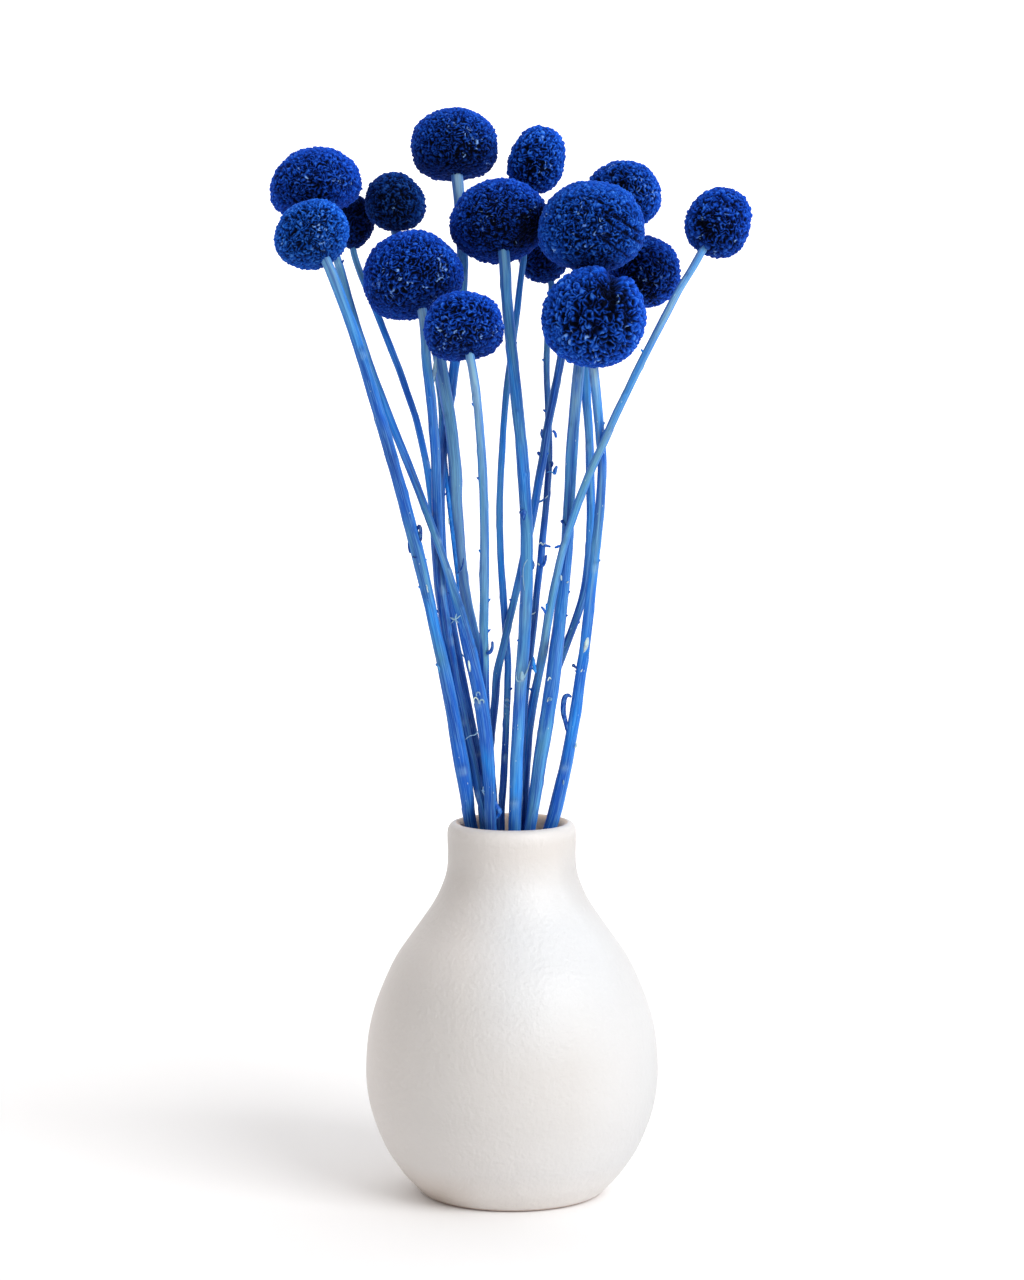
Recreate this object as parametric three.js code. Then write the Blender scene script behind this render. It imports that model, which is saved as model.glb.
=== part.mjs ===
// A bunch of fifteen dyed billy buttons (Craspedia globosa) standing in a matte ceramic bud vase.
// Millimetres, +Z up. The origin is the middle of the vase's foot; the front of the bunch faces -Y.
import * as THREE from 'three';

// ---------------------------------------------------------------- driving dimensions
const VASE_HEIGHT = 120;        // foot to the crest of the lip
const FOOT_RADIUS = 27.1;       // flat ring and base that the vase rests on
const BELLY_RADIUS = 46.8;      // widest, at z = 40
const NECK_RADIUS = 20.46;      // narrowest outside, at z = 109
const LIP_RADIUS = 20.6;        // outside of the rolled lip
const MOUTH_RADIUS = 15.7;      // inside of the mouth
const FLOOR_THICKNESS = 5;      // base of the vase
const VASE_SIDES = 48;
const STEM_SIDES = 8;           // faces round a stem
const STEM_RINGS = 28;          // sections along a stem
const HEAD_SIDES = 16;          // faces round a flower head
const HEAD_RINGS = 11;          // sections from the base to the crown of a head
const SOCKET_DEPTH = 1.0;       // dimple in the base of a head, over the end of its stem
const SOCKET_GAP = 0.55;        // clear space between a stem's end and the socket

// colours (sRGB)
const CERAMIC_WHITE = 0xe9e6e1;
const STEM_BLUE = 0x2f5f9e;
const HEAD_BLUE = 0x12308f;

// ---------------------------------------------------------------- vase profile [radius, z]
const VASE_OUTSIDE = [
    [FOOT_RADIUS, 0], [28.9, 0.45], [30.2, 1.5], [31.9, 3.4], [34.38, 6], [37.34, 10], [40.52, 15], [43.17, 21],
    [45.46, 28], [BELLY_RADIUS - 0.05, 36], [BELLY_RADIUS - 0.04, 44], [45.97, 52], [44.1, 60], [41.09, 68], [37.31, 76], [32.58, 83],
    [28.34, 89], [25.02, 94], [22.55, 99], [20.9, 104], [NECK_RADIUS, 109], [LIP_RADIUS, 114], [LIP_RADIUS - 0.03, 117.4],
    [20.1, 118.8], [19.25, 119.65],
];
const VASE_LIP = [18.15, VASE_HEIGHT];
const VASE_INSIDE = [
    [17.05, 119.65], [16.2, 118.8], [MOUTH_RADIUS + 0.05, 117.3], [MOUTH_RADIUS, 112], [15.9, 108], [16.3, 104], [17.7, 99],
    [20.0, 94], [23.3, 89], [27.6, 83], [32.5, 76], [36.5, 68], [39.6, 60], [41.6, 52], [42.5, 44], [42.4, 36], [41.0, 28],
    [38.6, 21], [35.5, 15], [31.0, 10.2], [26, 7.2], [20, FLOOR_THICKNESS + 0.3],
];

// ---------------------------------------------------------------- stems
// Each stem's centre line and radius, [x, y, z, radius], from its cut end in the vase to its head.
const STEMS = {
  1: [
    [-4.1, -9.9, 7, 1.84], [-4.5, -9.9, 13.2, 1.84], [-5.45, -10.18, 23.3, 1.84], [-6.66, -11.11, 38.5, 1.84],
    [-6.73, -11.82, 53, 1.84], [-5.9, -11.3, 68, 1.84], [-5.4, -10.1, 83.8, 1.84], [-5.7, -9, 99.8, 1.84],
    [-6.5, -8.3, 116.5, 1.84], [-7.1, -7.9, 132.9, 2.02], [-8.2, -7.5, 148.3, 2.18], [-10.44, -7.44, 162.69, 2.33],
    [-13.53, -6.93, 176.39, 2.19], [-16.9, -6.4, 189.4, 1.71], [-20.69, -7.94, 202.4, 1.29],
    [-24.93, -8.42, 214.47, 1.28], [-29.26, -5.77, 225.89, 1.28], [-34.2, -3.7, 238, 1.34],
    [-39.9, -3.1, 252.4, 1.41], [-45.4, -2.3, 267.7, 1.35], [-50.2, -1.6, 282.7, 1.31], [-54.5, -1.7, 297.5, 1.29],
    [-57.6, -1.9, 306.9, 1.27], [-59.59, -1.69, 312.77, 1.26],
  ],
  2: [
    [-4.2, 19.1, 7, 2.05], [-4.5, 18.5, 12.9, 2.05], [-5, 17.4, 22.6, 2.05], [-6, 15.6, 38.8, 2.05],
    [-7.2, 13.5, 54.6, 2.05], [-8.2, 11.1, 69.6, 2.05], [-8.54, 8.01, 84.31, 2.05], [-9.31, 4.98, 97.8, 2.05],
    [-11.51, 2.56, 110.69, 2.05], [-13.6, 0.09, 121.2, 2.13], [-14.5, -4.3, 129.6, 2.22], [-16, -5.2, 139.3, 2.34],
    [-18.11, -5.11, 151.8, 2.25], [-20.92, -6.42, 166.39, 2.08], [-23.92, -7.42, 181.09, 1.9],
    [-27, -8.2, 194.9, 1.92], [-30.3, -10.2, 209.4, 2.01], [-34.3, -12.6, 225.2, 1.95], [-38.6, -15.2, 241.1, 1.87],
    [-43.1, -17.9, 257, 1.78], [-47.6, -20.4, 271.9, 1.7], [-51.9, -22, 285, 1.63], [-54.8, -23.6, 292.8, 1.58],
    [-57.07, -24, 298.04, 1.55],
  ],
  3: [
    [-4.5, 1.5, 7, 1.22], [-4.8, 1.6, 12.7, 1.22], [-5.2, 1.9, 21.9, 1.22], [-5.7, 2.7, 37.4, 1.22],
    [-6.5, 3.5, 52, 1.22], [-8.3, 4.3, 65.8, 1.22], [-11.02, 5.09, 79.9, 1.22], [-12.88, 6.25, 92.59, 1.22],
    [-12.85, 6.82, 104.6, 1.22], [-12.82, 5.55, 115.51, 1.23], [-14.2, 4.9, 126.4, 1.25], [-16.2, 5.4, 141.7, 1.23],
    [-18.6, 6.1, 158.6, 1.21], [-21, 6.8, 175.5, 1.19], [-23.2, 7.6, 191.5, 1.17], [-24.6, 8.4, 206.3, 1.16],
    [-25.6, 9.2, 221.3, 1.14], [-27.4, 9.9, 234.6, 1.12], [-30.5, 10.6, 247.6, 1.1], [-34.8, 11.4, 260.7, 1.08],
    [-40.2, 12.3, 274.4, 1.06], [-45.7, 13.5, 287.9, 1.03], [-48.9, 14.2, 296, 1.02], [-50.48, 14.61, 301.48, 1.01],
  ],
  4: [
    [-1.5, 8.9, 7, 1.53], [-1.8, 9, 13.2, 1.53], [-2.4, 8.8, 23.5, 1.53], [-3.3, 8, 40, 1.53],
    [-3.9, 7.7, 56.1, 1.53], [-4.2, 7.9, 72.9, 1.53], [-4.7, 8.1, 89.4, 1.53], [-5.6, 8.1, 105.9, 1.53],
    [-6.8, 8.7, 119, 1.58], [-7.7, 9.7, 131.2, 1.62], [-8.42, 8.93, 144.8, 1.67], [-9.4, 8.6, 160.1, 1.72],
    [-11.3, 8.5, 174.7, 1.76], [-14.4, 8.4, 189.5, 1.81], [-16.6, 8.3, 203.9, 1.94], [-17.7, 8.3, 218.5, 2],
    [-18.13, 7.04, 232.3, 2.03], [-19.36, 5.7, 245.6, 2.04], [-21.53, 6.35, 259, 2.05], [-24.2, 8.06, 272.7, 2.04],
    [-27.7, 10.52, 284.7, 1.89], [-31.4, 11.92, 294.6, 1.77], [-34.7, 9.66, 301.6, 1.67],
    [-36.63, 7.76, 307.04, 1.6],
  ],
  5: [
    [-2, -13.1, 7, 1.45], [-1.99, -12.7, 13.8, 1.45], [-2.15, -11.81, 25.6, 1.45], [-3.14, -10.09, 42.5, 1.45],
    [-4.99, -7.99, 60.8, 1.45], [-6.5, -5.9, 78.1, 1.45], [-7.4, -2.9, 95.4, 1.45], [-8.3, -0.1, 111.5, 1.45],
    [-9.42, 0.2, 124, 1.5], [-10.35, 1.8, 133.1, 1.5], [-11.4, 3.9, 141.9, 1.5], [-13.6, 2.1, 153.9, 1.5],
    [-16.6, 2.6, 168.5, 1.5], [-19.7, 3.7, 186, 1.5], [-22, 4.7, 202.9, 1.52], [-22.9, 5.7, 218.6, 1.55],
    [-22.49, 7.98, 233, 1.58], [-20.82, 10.11, 247.39, 1.6], [-18.57, 9.93, 262.1, 1.63], [-16.6, 9.8, 277.2, 1.66],
    [-15.8, 11.1, 292.6, 1.72], [-16, 13.5, 307.4, 1.77], [-16.8, 14.3, 317.9, 1.81], [-17.43, 14.87, 324.61, 1.83],
  ],
  6: [
    [-7.9, -7.2, 7, 1.15], [-7.6, -7, 13.6, 1.15], [-7.3, -6.6, 25.1, 1.15], [-6.9, -5.8, 43, 1.15],
    [-6.3, -4.6, 60.4, 1.15], [-5.3, -3, 78, 1.15], [-4.18, -1.92, 94.2, 1.15], [-3.57, -2.3, 109.1, 1.15],
    [-3.3, -2.9, 123.6, 1.18], [-2.4, -2, 139.7, 1.17], [-1.8, -1.9, 154, 1.15], [-1.41, 0.13, 163.98, 1.14],
    [-1.28, 5.67, 171.26, 1.14], [-2.13, 5.92, 181.6, 1.13], [-3.02, 4.01, 194.9, 1.11], [-3.7, 3.5, 207.9, 1.1],
    [-3.9, 5.2, 222.9, 1.09], [-3.1, 6.9, 239.6, 1.07], [-1.7, 8.8, 257.2, 1.04], [0.4, 10.5, 272.8, 1.02],
    [2.3, 12.2, 288.2, 1], [4.2, 13.5, 302.6, 0.97], [4.9, 14.3, 312.4, 0.96], [5.37, 14.97, 318.85, 0.95],
  ],
  7: [
    [7, -8.1, 7, 1.38], [6.6, -8, 12.7, 1.38], [5.9, -7.8, 22.7, 1.38], [4.7, -7, 37.3, 1.38],
    [3.2, -5.49, 52.2, 1.38], [1.42, -4, 66.4, 1.38], [-0.59, -3.92, 79.3, 1.38], [-3.11, -4.96, 93.4, 1.38],
    [-5.43, -4.81, 106.4, 1.38], [-7.8, -3.7, 118.5, 1.38], [-10.4, -3.6, 130, 1.46], [-13, -2.2, 141.9, 1.5],
    [-15.59, -2.09, 153.9, 1.55], [-18.28, -3.48, 167.91, 1.6], [-20.68, -5.18, 182.11, 1.65],
    [-22.21, -5.79, 194.1, 1.7], [-23.28, -4.7, 206.6, 1.73], [-23.55, -5.08, 218.13, 1.7],
    [-23.8, -8.3, 229.5, 1.66], [-24.2, -10, 241.7, 1.63], [-25.2, -10.6, 255.1, 1.59], [-26.8, -10.3, 268.5, 1.55],
    [-27.3, -10.7, 277, 1.52], [-27.91, -10.52, 282.48, 1.5],
  ],
  8: [
    [1.9, 19.5, 7, 1.56], [1.7, 19, 12.4, 1.56], [1.3, 18, 21.7, 1.56], [0.5, 16.5, 37, 1.56],
    [-0.2, 14.7, 51.9, 1.56], [-0.6, 12.7, 65.9, 1.56], [-0.8, 10.2, 79.6, 1.56], [-1.3, 7.3, 92.7, 1.56],
    [-2.6, 4.6, 105.3, 1.56], [-4.6, 2.8, 116.4, 1.57], [-6.08, 2.8, 125.6, 1.6], [-6.75, 1.2, 133, 1.6],
    [-7.4, -2.4, 140.2, 1.59], [-8.1, -2.4, 150.1, 1.58], [-8.57, -3.07, 161.71, 1.56], [-8.76, -5.26, 173.91, 1.55],
    [-8.8, -8.6, 187.2, 1.54], [-8.7, -11.8, 201.9, 1.52], [-8.7, -15.1, 216.6, 1.5], [-9.1, -18.4, 230.9, 1.48],
    [-9.8, -21.8, 244.7, 1.46], [-11, -24.8, 257, 1.44], [-12, -27.4, 264.2, 1.43], [-12.95, -28.12, 269.19, 1.42],
  ],
  9: [
    [0, -8.6, 7, 1.99], [-0.1, -8.5, 12.4, 1.99], [0, -8.4, 20.6, 1.99], [0.6, -8.6, 33.7, 1.99],
    [0.8, -9.5, 46.8, 1.99], [0.5, -11.11, 60.6, 1.99], [0.2, -11.93, 73.2, 1.99], [-0.01, -11.32, 85.7, 1.99],
    [0.1, -9.9, 99.5, 1.99], [0.7, -8.6, 113.1, 1.99], [1, -8.2, 125.9, 2.04], [1.4, -8.1, 139.9, 2.02],
    [2.2, -8, 154.8, 2], [3.3, -7.8, 170.8, 1.98], [4.3, -7.7, 186, 1.95], [4.7, -7.6, 200.2, 1.93],
    [4.6, -7.4, 214.1, 1.91], [3.8, -7.3, 228.3, 1.9], [2.6, -7.1, 243.1, 1.88], [1, -6.9, 258.8, 1.86],
    [-0.6, -6.8, 274.6, 1.83], [-1.8, -6.7, 287.6, 1.82], [-2.1, -7.1, 295, 1.81], [-2.53, -6.55, 300.22, 1.8],
  ],
  10: [
    [-4.7, -5.7, 7, 1.84], [-4.4, -5.6, 13.1, 1.84], [-3.7, -5.3, 23.8, 1.84], [-2.5, -5.4, 39.4, 1.84],
    [-1.31, -6.42, 54.9, 1.84], [-0.02, -7.56, 70, 1.84], [1.7, -7.4, 85, 1.84], [3.5, -6.9, 101.3, 1.84],
    [5.2, -7, 116.1, 1.84], [7.5, -7.3, 130.9, 2.01], [10, -7.5, 147.1, 2.18], [11.9, -8.6, 160, 2.33],
    [13.2, -10.8, 170.6, 2.27], [14.25, -8.3, 178.09, 2.15], [15.01, -4.7, 184.9, 2.05], [16.1, -6.8, 194.6, 1.95],
    [17.1, -8.6, 207.5, 1.9], [17.9, -9.9, 222.6, 1.84], [18.6, -10.5, 238.5, 1.81], [19.8, -11.1, 254.2, 1.78],
    [21.3, -11.1, 268.1, 1.76], [22.7, -10, 280.2, 1.74], [24, -11.4, 288.7, 1.72], [24.63, -12.6, 294.58, 1.71],
  ],
  11: [
    [-10.6, 1, 7, 1.22], [-10.5, 1.2, 13.6, 1.22], [-10.4, 1.5, 25.7, 1.22], [-10.3, 1.7, 43.7, 1.22],
    [-9.8, 1.6, 60.6, 1.22], [-8.4, 1.4, 77.4, 1.22], [-6.94, 1.46, 93.5, 1.22], [-7.01, 2.44, 107.71, 1.22],
    [-8.1, 4.9, 120.6, 1.26], [-7.7, 6.2, 132.9, 1.27], [-6.78, 5.67, 146.3, 1.27], [-5.5, 6.8, 158.3, 1.28],
    [-4.77, 3.52, 167.54, 1.28], [-2.74, 1.37, 176.41, 1.29], [0.24, 4.07, 188.4, 1.29], [3.2, 7.8, 201, 1.3],
    [6.2, 8.9, 215, 1.3], [9.2, 9.7, 231.9, 1.31], [12.2, 10.8, 249.9, 1.31], [15.6, 11.8, 267.2, 1.32],
    [19.4, 12.8, 283.9, 1.33], [23, 13.3, 296.7, 1.33], [28.3, 13.6, 303.7, 1.34], [32.17, 13.94, 308.7, 1.34],
  ],
  12: [
    [-4, 5.4, 7, 2.05], [-3.3, 5.1, 12, 2.05], [-2.3, 4.7, 20, 2.05], [-0.7, 4.2, 33.6, 2.05],
    [0.6, 3.6, 47.2, 2.05], [1.7, 2.6, 60.6, 2.05], [2.9, 1.2, 74.2, 2.05], [4.4, 0.4, 86.2, 2.05],
    [6.6, 0.21, 98.3, 2.05], [9.3, -0.1, 109.9, 2.05], [12.5, -1, 119.3, 2.11], [15.2, -1.9, 129.9, 2.06],
    [17.8, -3.3, 142.5, 2], [20, -5.1, 155.6, 1.9], [21.9, -7.1, 169.1, 1.79], [23.6, -9.3, 183, 1.7],
    [25.1, -11.6, 197.1, 1.62], [26.5, -14.2, 210.9, 1.55], [27.6, -16.2, 223.1, 1.48],
    [28.09, -16.76, 234.05, 1.42], [27.54, -18.25, 243.63, 1.46], [26.5, -22.5, 253.4, 1.5],
    [25.7, -24.6, 260.5, 1.53], [25.17, -25.67, 265.4, 1.55],
  ],
  13: [
    [2.2, -3.7, 7, 1.15], [2.3, -3.6, 12.7, 1.15], [2.6, -3.4, 22.3, 1.15], [3.2, -2.8, 37.9, 1.15],
    [4, -2.3, 53.1, 1.15], [4.4, -2.6, 67.2, 1.15], [4.6, -3.3, 82.3, 1.15], [4.9, -3.31, 95.8, 1.15],
    [5.79, -2.11, 109.5, 1.15], [6.8, -0.9, 122.9, 1.19], [7.6, -0.4, 136.5, 1.22], [9.5, 0.2, 149.9, 1.24],
    [12.4, 0.9, 162.7, 1.26], [16.7, 1.7, 175.3, 1.29], [21.3, 2.4, 187.7, 1.31], [23.9, 3.2, 199.4, 1.33],
    [24.8, 4.1, 212.3, 1.36], [24.9, 5.1, 227, 1.38], [24.5, 6.2, 242, 1.41], [23.6, 7.3, 256.2, 1.44],
    [23.9, 7.9, 267.7, 1.46], [26.5, 8.3, 276.4, 1.47], [31.7, 8.5, 281.2, 1.49], [35.78, 8.84, 284.94, 1.49],
  ],
  14: [
    [1.9, 7.8, 7, 1.45], [2, 7.7, 13.6, 1.45], [2.2, 7.6, 25.7, 1.45], [2.5, 7.3, 44.8, 1.45],
    [2.8, 6.7, 63.2, 1.45], [3.1, 5.8, 82.1, 1.45], [3.5, 5, 101, 1.45], [3.9, 3.8, 117.2, 1.48],
    [4.2, 2.6, 132.7, 1.47], [5.2, 2.4, 146.9, 1.44], [6.75, 2.8, 157.89, 1.42], [8.34, -1.4, 167.09, 1.4],
    [10.07, -5.2, 176.5, 1.39], [11.08, -10.8, 184.3, 1.37], [13, -10.9, 194.9, 1.35], [15.9, -12.3, 208, 1.32],
    [20.2, -14.7, 221.6, 1.3], [24.95, -19.38, 234.31, 1.28], [30.06, -22.41, 246.18, 1.26],
    [36.1, -23.7, 259.5, 1.23], [42.9, -27.2, 273.6, 1.21], [50.2, -30.5, 287.7, 1.18], [55, -32.9, 296.2, 1.17],
    [58.14, -33.91, 301.69, 1.15],
  ],
  15: [
    [-1.1, -3.1, 7, 1.15], [-0.9, -3, 12.7, 1.15], [-0.7, -2.9, 22.3, 1.15], [-0.4, -2.4, 37.8, 1.15],
    [-0.3, -1.6, 53.8, 1.15], [-0.3, -0.9, 69, 1.15], [0.1, -0.9, 83.5, 1.15], [0.9, -1.4, 99, 1.15],
    [1.6, -1.4, 113.2, 1.15], [2.1, -0.6, 127.1, 1.18], [2.8, -0.5, 140.5, 1.16], [3.6, -1.5, 152, 1.15],
    [4.25, -0.2, 160.21, 1.14], [4.97, 4.7, 167.1, 1.14], [6.2, 6.4, 177, 1.13], [7.7, 7.8, 190.2, 1.11],
    [9.4, 10.3, 205.4, 1.1], [11, 13, 221.1, 1.08], [11.9, 15.4, 234.9, 1.07], [11.6, 17.9, 249, 1.05],
    [11.1, 20.5, 263.7, 1.04], [11.4, 22.7, 276.9, 1.03], [12.4, 24, 285.1, 1.02], [12.56, 24.99, 290.69, 1.01],
  ],
};

// ---------------------------------------------------------------- flower heads
// centre, axis (base to crown), radius across the axis, height of the crown half along it, how square the base
// half is (2 is round) and how tall it is against the crown half
const HEADS = {
  1: { centre: [-61.4, -0.5, 321.2], axis: [-0.208, 0.137, 0.968], radius: 14.5, half: 12.66, square: 2.7, base: 0.64 },
  2: { centre: [-61.6, -20, 306.1], axis: [-0.449, 0.397, 0.8], radius: 11.98, half: 10.89, square: 2, base: 0.87 },
  3: { centre: [-50.6, 15.5, 310.2], axis: [-0.014, 0.102, 0.995], radius: 7.19, half: 8.69, square: 2, base: 0.94 },
  4: { centre: [-36.9, 6, 316.2], axis: [-0.029, -0.189, 0.981], radius: 9.45, half: 9.81, square: 2.2, base: 0.89 },
  5: { centre: [-18.3, 18, 334.8], axis: [-0.081, 0.293, 0.953], radius: 13.89, half: 11.6, square: 3.3, base: 0.87 },
  6: { centre: [7.5, 16, 328.8], axis: [0.208, 0.101, 0.973], radius: 9.19, half: 12.19, square: 2.12, base: 0.79 },
  7: { centre: [-31.1, -6, 293], axis: [-0.268, 0.38, 0.885], radius: 15.74, half: 14.66, square: 2.66, base: 0.77 },
  8: { centre: [-15.1, -24, 278.7], axis: [-0.203, 0.389, 0.898], radius: 12.43, half: 10.08, square: 2.5, base: 0.99 },
  9: { centre: [-4.2, 0, 310.7], axis: [-0.134, 0.525, 0.84], radius: 15.51, half: 12.49, square: 2.24, base: 0.95 },
  10: { centre: [24.7, -14, 308.8], axis: [0.005, -0.098, 0.995], radius: 16.63, half: 14.41, square: 2.29, base: 0.95 },
  11: { centre: [35.2, 15, 318.6], axis: [0.291, 0.102, 0.951], radius: 12.24, half: 11.54, square: 2, base: 0.85 },
  12: { centre: [25.3, -28, 281.2], axis: [0.008, -0.146, 0.989], radius: 16.14, half: 15.53, square: 2.17, base: 0.99 },
  13: { centre: [41.8, 10, 294.8], axis: [0.519, 0.1, 0.849], radius: 12.34, half: 11.12, square: 2.1, base: 0.99 },
  14: { centre: [62.4, -30, 308.8], axis: [0.465, 0.426, 0.776], radius: 10.04, half: 13.18, square: 2.14, base: 0.65 },
  15: { centre: [9.9, 26, 298.7], axis: [-0.313, 0.119, 0.942], radius: 8.17, half: 7.52, square: 2, base: 1.05 },
};

// ---------------------------------------------------------------- builders
function mat(color, roughness) {
    return new THREE.MeshStandardMaterial({ color, roughness, metalness: 0 });
}

function vaseGeometry() {
    const profile = [[0, 0], ...VASE_OUTSIDE, VASE_LIP, ...VASE_INSIDE, [0, FLOOR_THICKNESS]];
    const g = new THREE.LatheGeometry(profile.map(([r, z]) => new THREE.Vector2(r, z)), VASE_SIDES);
    g.rotateX(Math.PI / 2);
    return g;
}

// A capped tube bent along a stem's centre line, thick and thin with its radii. The frame is carried along
// without twist.
function stemGeometry(rows) {
    const curve = new THREE.CatmullRomCurve3(rows.map((r) => new THREE.Vector3(r[0], r[1], r[2])), false, 'centripetal');
    const g = new THREE.CylinderGeometry(1, 1, 1, STEM_SIDES, STEM_RINGS, false);
    const centres = [], xs = [], ys = [], radii = [];
    let side = new THREE.Vector3(1, 0, 0);
    for (let i = 0; i <= STEM_RINGS; i++) {
        const t = i / STEM_RINGS;
        const u = curve.getUtoTmapping(t, null);
        const c = curve.getPoint(u);
        const w = curve.getTangent(u).normalize();
        side = side.clone().addScaledVector(w, -side.dot(w)).normalize();
        const s = u * (rows.length - 1);
        const j = Math.min(rows.length - 2, Math.floor(s));
        radii.push(rows[j][3] + (rows[j + 1][3] - rows[j][3]) * (s - j));
        centres.push(c); xs.push(side.clone()); ys.push(new THREE.Vector3().crossVectors(w, side));
    }
    const p = g.attributes.position;
    for (let v = 0; v < p.count; v++) {
        const i = Math.round((p.getY(v) + 0.5) * STEM_RINGS);
        const q = centres[i].clone()
            .addScaledVector(xs[i], -p.getX(v) * radii[i])
            .addScaledVector(ys[i], p.getZ(v) * radii[i]);
        p.setXYZ(v, q.x, q.y, q.z);
    }
    g.computeVertexNormals();
    return g;
}

// A ball of packed florets: a little flat at the base, with a shallow socket over the stem and a soft
// five-lobed swelling of the sides.
function headGeometry(head, phase) {
    const g = new THREE.SphereGeometry(1, HEAD_SIDES, HEAD_RINGS);
    g.rotateX(Math.PI / 2);
    const turn = new THREE.Quaternion().setFromUnitVectors(new THREE.Vector3(0, 0, 1), new THREE.Vector3(...head.axis).normalize());
    const p = g.attributes.position;
    const v = new THREE.Vector3();
    for (let i = 0; i < p.count; i++) {
        v.fromBufferAttribute(p, i);
        const around = Math.atan2(v.y, v.x);
        const rim = Math.hypot(v.x, v.y);
        const lobe = 1 - 0.02 * (1 - Math.cos(5 * around + phase)) * rim * rim;
        const power = v.z < 0 ? head.square : 2;
        const grow = Math.pow(Math.pow(rim, power) + Math.pow(Math.abs(v.z), power), -1 / power);
        const z = v.z * grow * (v.z < 0 ? head.base : 1);
        v.set(v.x * grow * head.radius * lobe, v.y * grow * head.radius * lobe, z * head.half);
        if (rim < 1e-3 && v.z < 0) { v.x = 0; v.y = 0; v.z += SOCKET_DEPTH; }
        v.applyQuaternion(turn);
        p.setXYZ(i, v.x, v.y, v.z);
    }
    g.computeVertexNormals();
    return g;
}

// ---------------------------------------------------------------- assembly
const group = new THREE.Group();

const vase = new THREE.Mesh(vaseGeometry(), mat(CERAMIC_WHITE, 0.75));
vase.name = 'vase';
group.add(vase);

for (const key of Object.keys(STEMS)) {
    const tag = String(key).padStart(2, '0');
    const head = HEADS[key];
    const axis = new THREE.Vector3(...head.axis).normalize();
    const centre = new THREE.Vector3(...head.centre);

    // the last point sits just below the socket of this stem's own head
    const rows = STEMS[key].map((r) => r.slice());
    const end = centre.clone().addScaledVector(axis, -(head.half * head.base - SOCKET_DEPTH + SOCKET_GAP + 1.05));
    const last = rows[rows.length - 1];
    last[0] = end.x; last[1] = end.y; last[2] = end.z;

    const stem = new THREE.Mesh(stemGeometry(rows), mat(STEM_BLUE, 0.6));
    stem.name = `stem_${tag}`;
    group.add(stem);

    const ball = new THREE.Mesh(headGeometry(head, Number(key) * 1.3), mat(HEAD_BLUE, 0.85));
    ball.name = `flower_head_${tag}`;
    ball.position.copy(centre);
    group.add(ball);
}

export default group;
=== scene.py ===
"""Looks of a bunch of fifteen dyed billy buttons in a matte white bud vase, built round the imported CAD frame."""

import math

import bpy
import numpy as np
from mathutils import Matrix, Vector


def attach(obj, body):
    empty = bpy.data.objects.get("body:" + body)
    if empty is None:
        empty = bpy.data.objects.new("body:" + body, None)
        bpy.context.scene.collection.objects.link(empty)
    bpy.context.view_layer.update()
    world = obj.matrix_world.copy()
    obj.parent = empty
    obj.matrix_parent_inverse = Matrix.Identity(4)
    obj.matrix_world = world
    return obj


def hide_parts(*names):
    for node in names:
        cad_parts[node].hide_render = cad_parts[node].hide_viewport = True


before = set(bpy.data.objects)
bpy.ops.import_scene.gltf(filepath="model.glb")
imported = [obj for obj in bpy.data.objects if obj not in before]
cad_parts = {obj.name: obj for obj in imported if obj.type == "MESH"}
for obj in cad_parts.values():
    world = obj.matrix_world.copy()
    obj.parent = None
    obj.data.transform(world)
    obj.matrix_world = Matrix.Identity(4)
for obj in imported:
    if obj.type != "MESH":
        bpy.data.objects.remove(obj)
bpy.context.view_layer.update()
MM = 0.001

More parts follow.
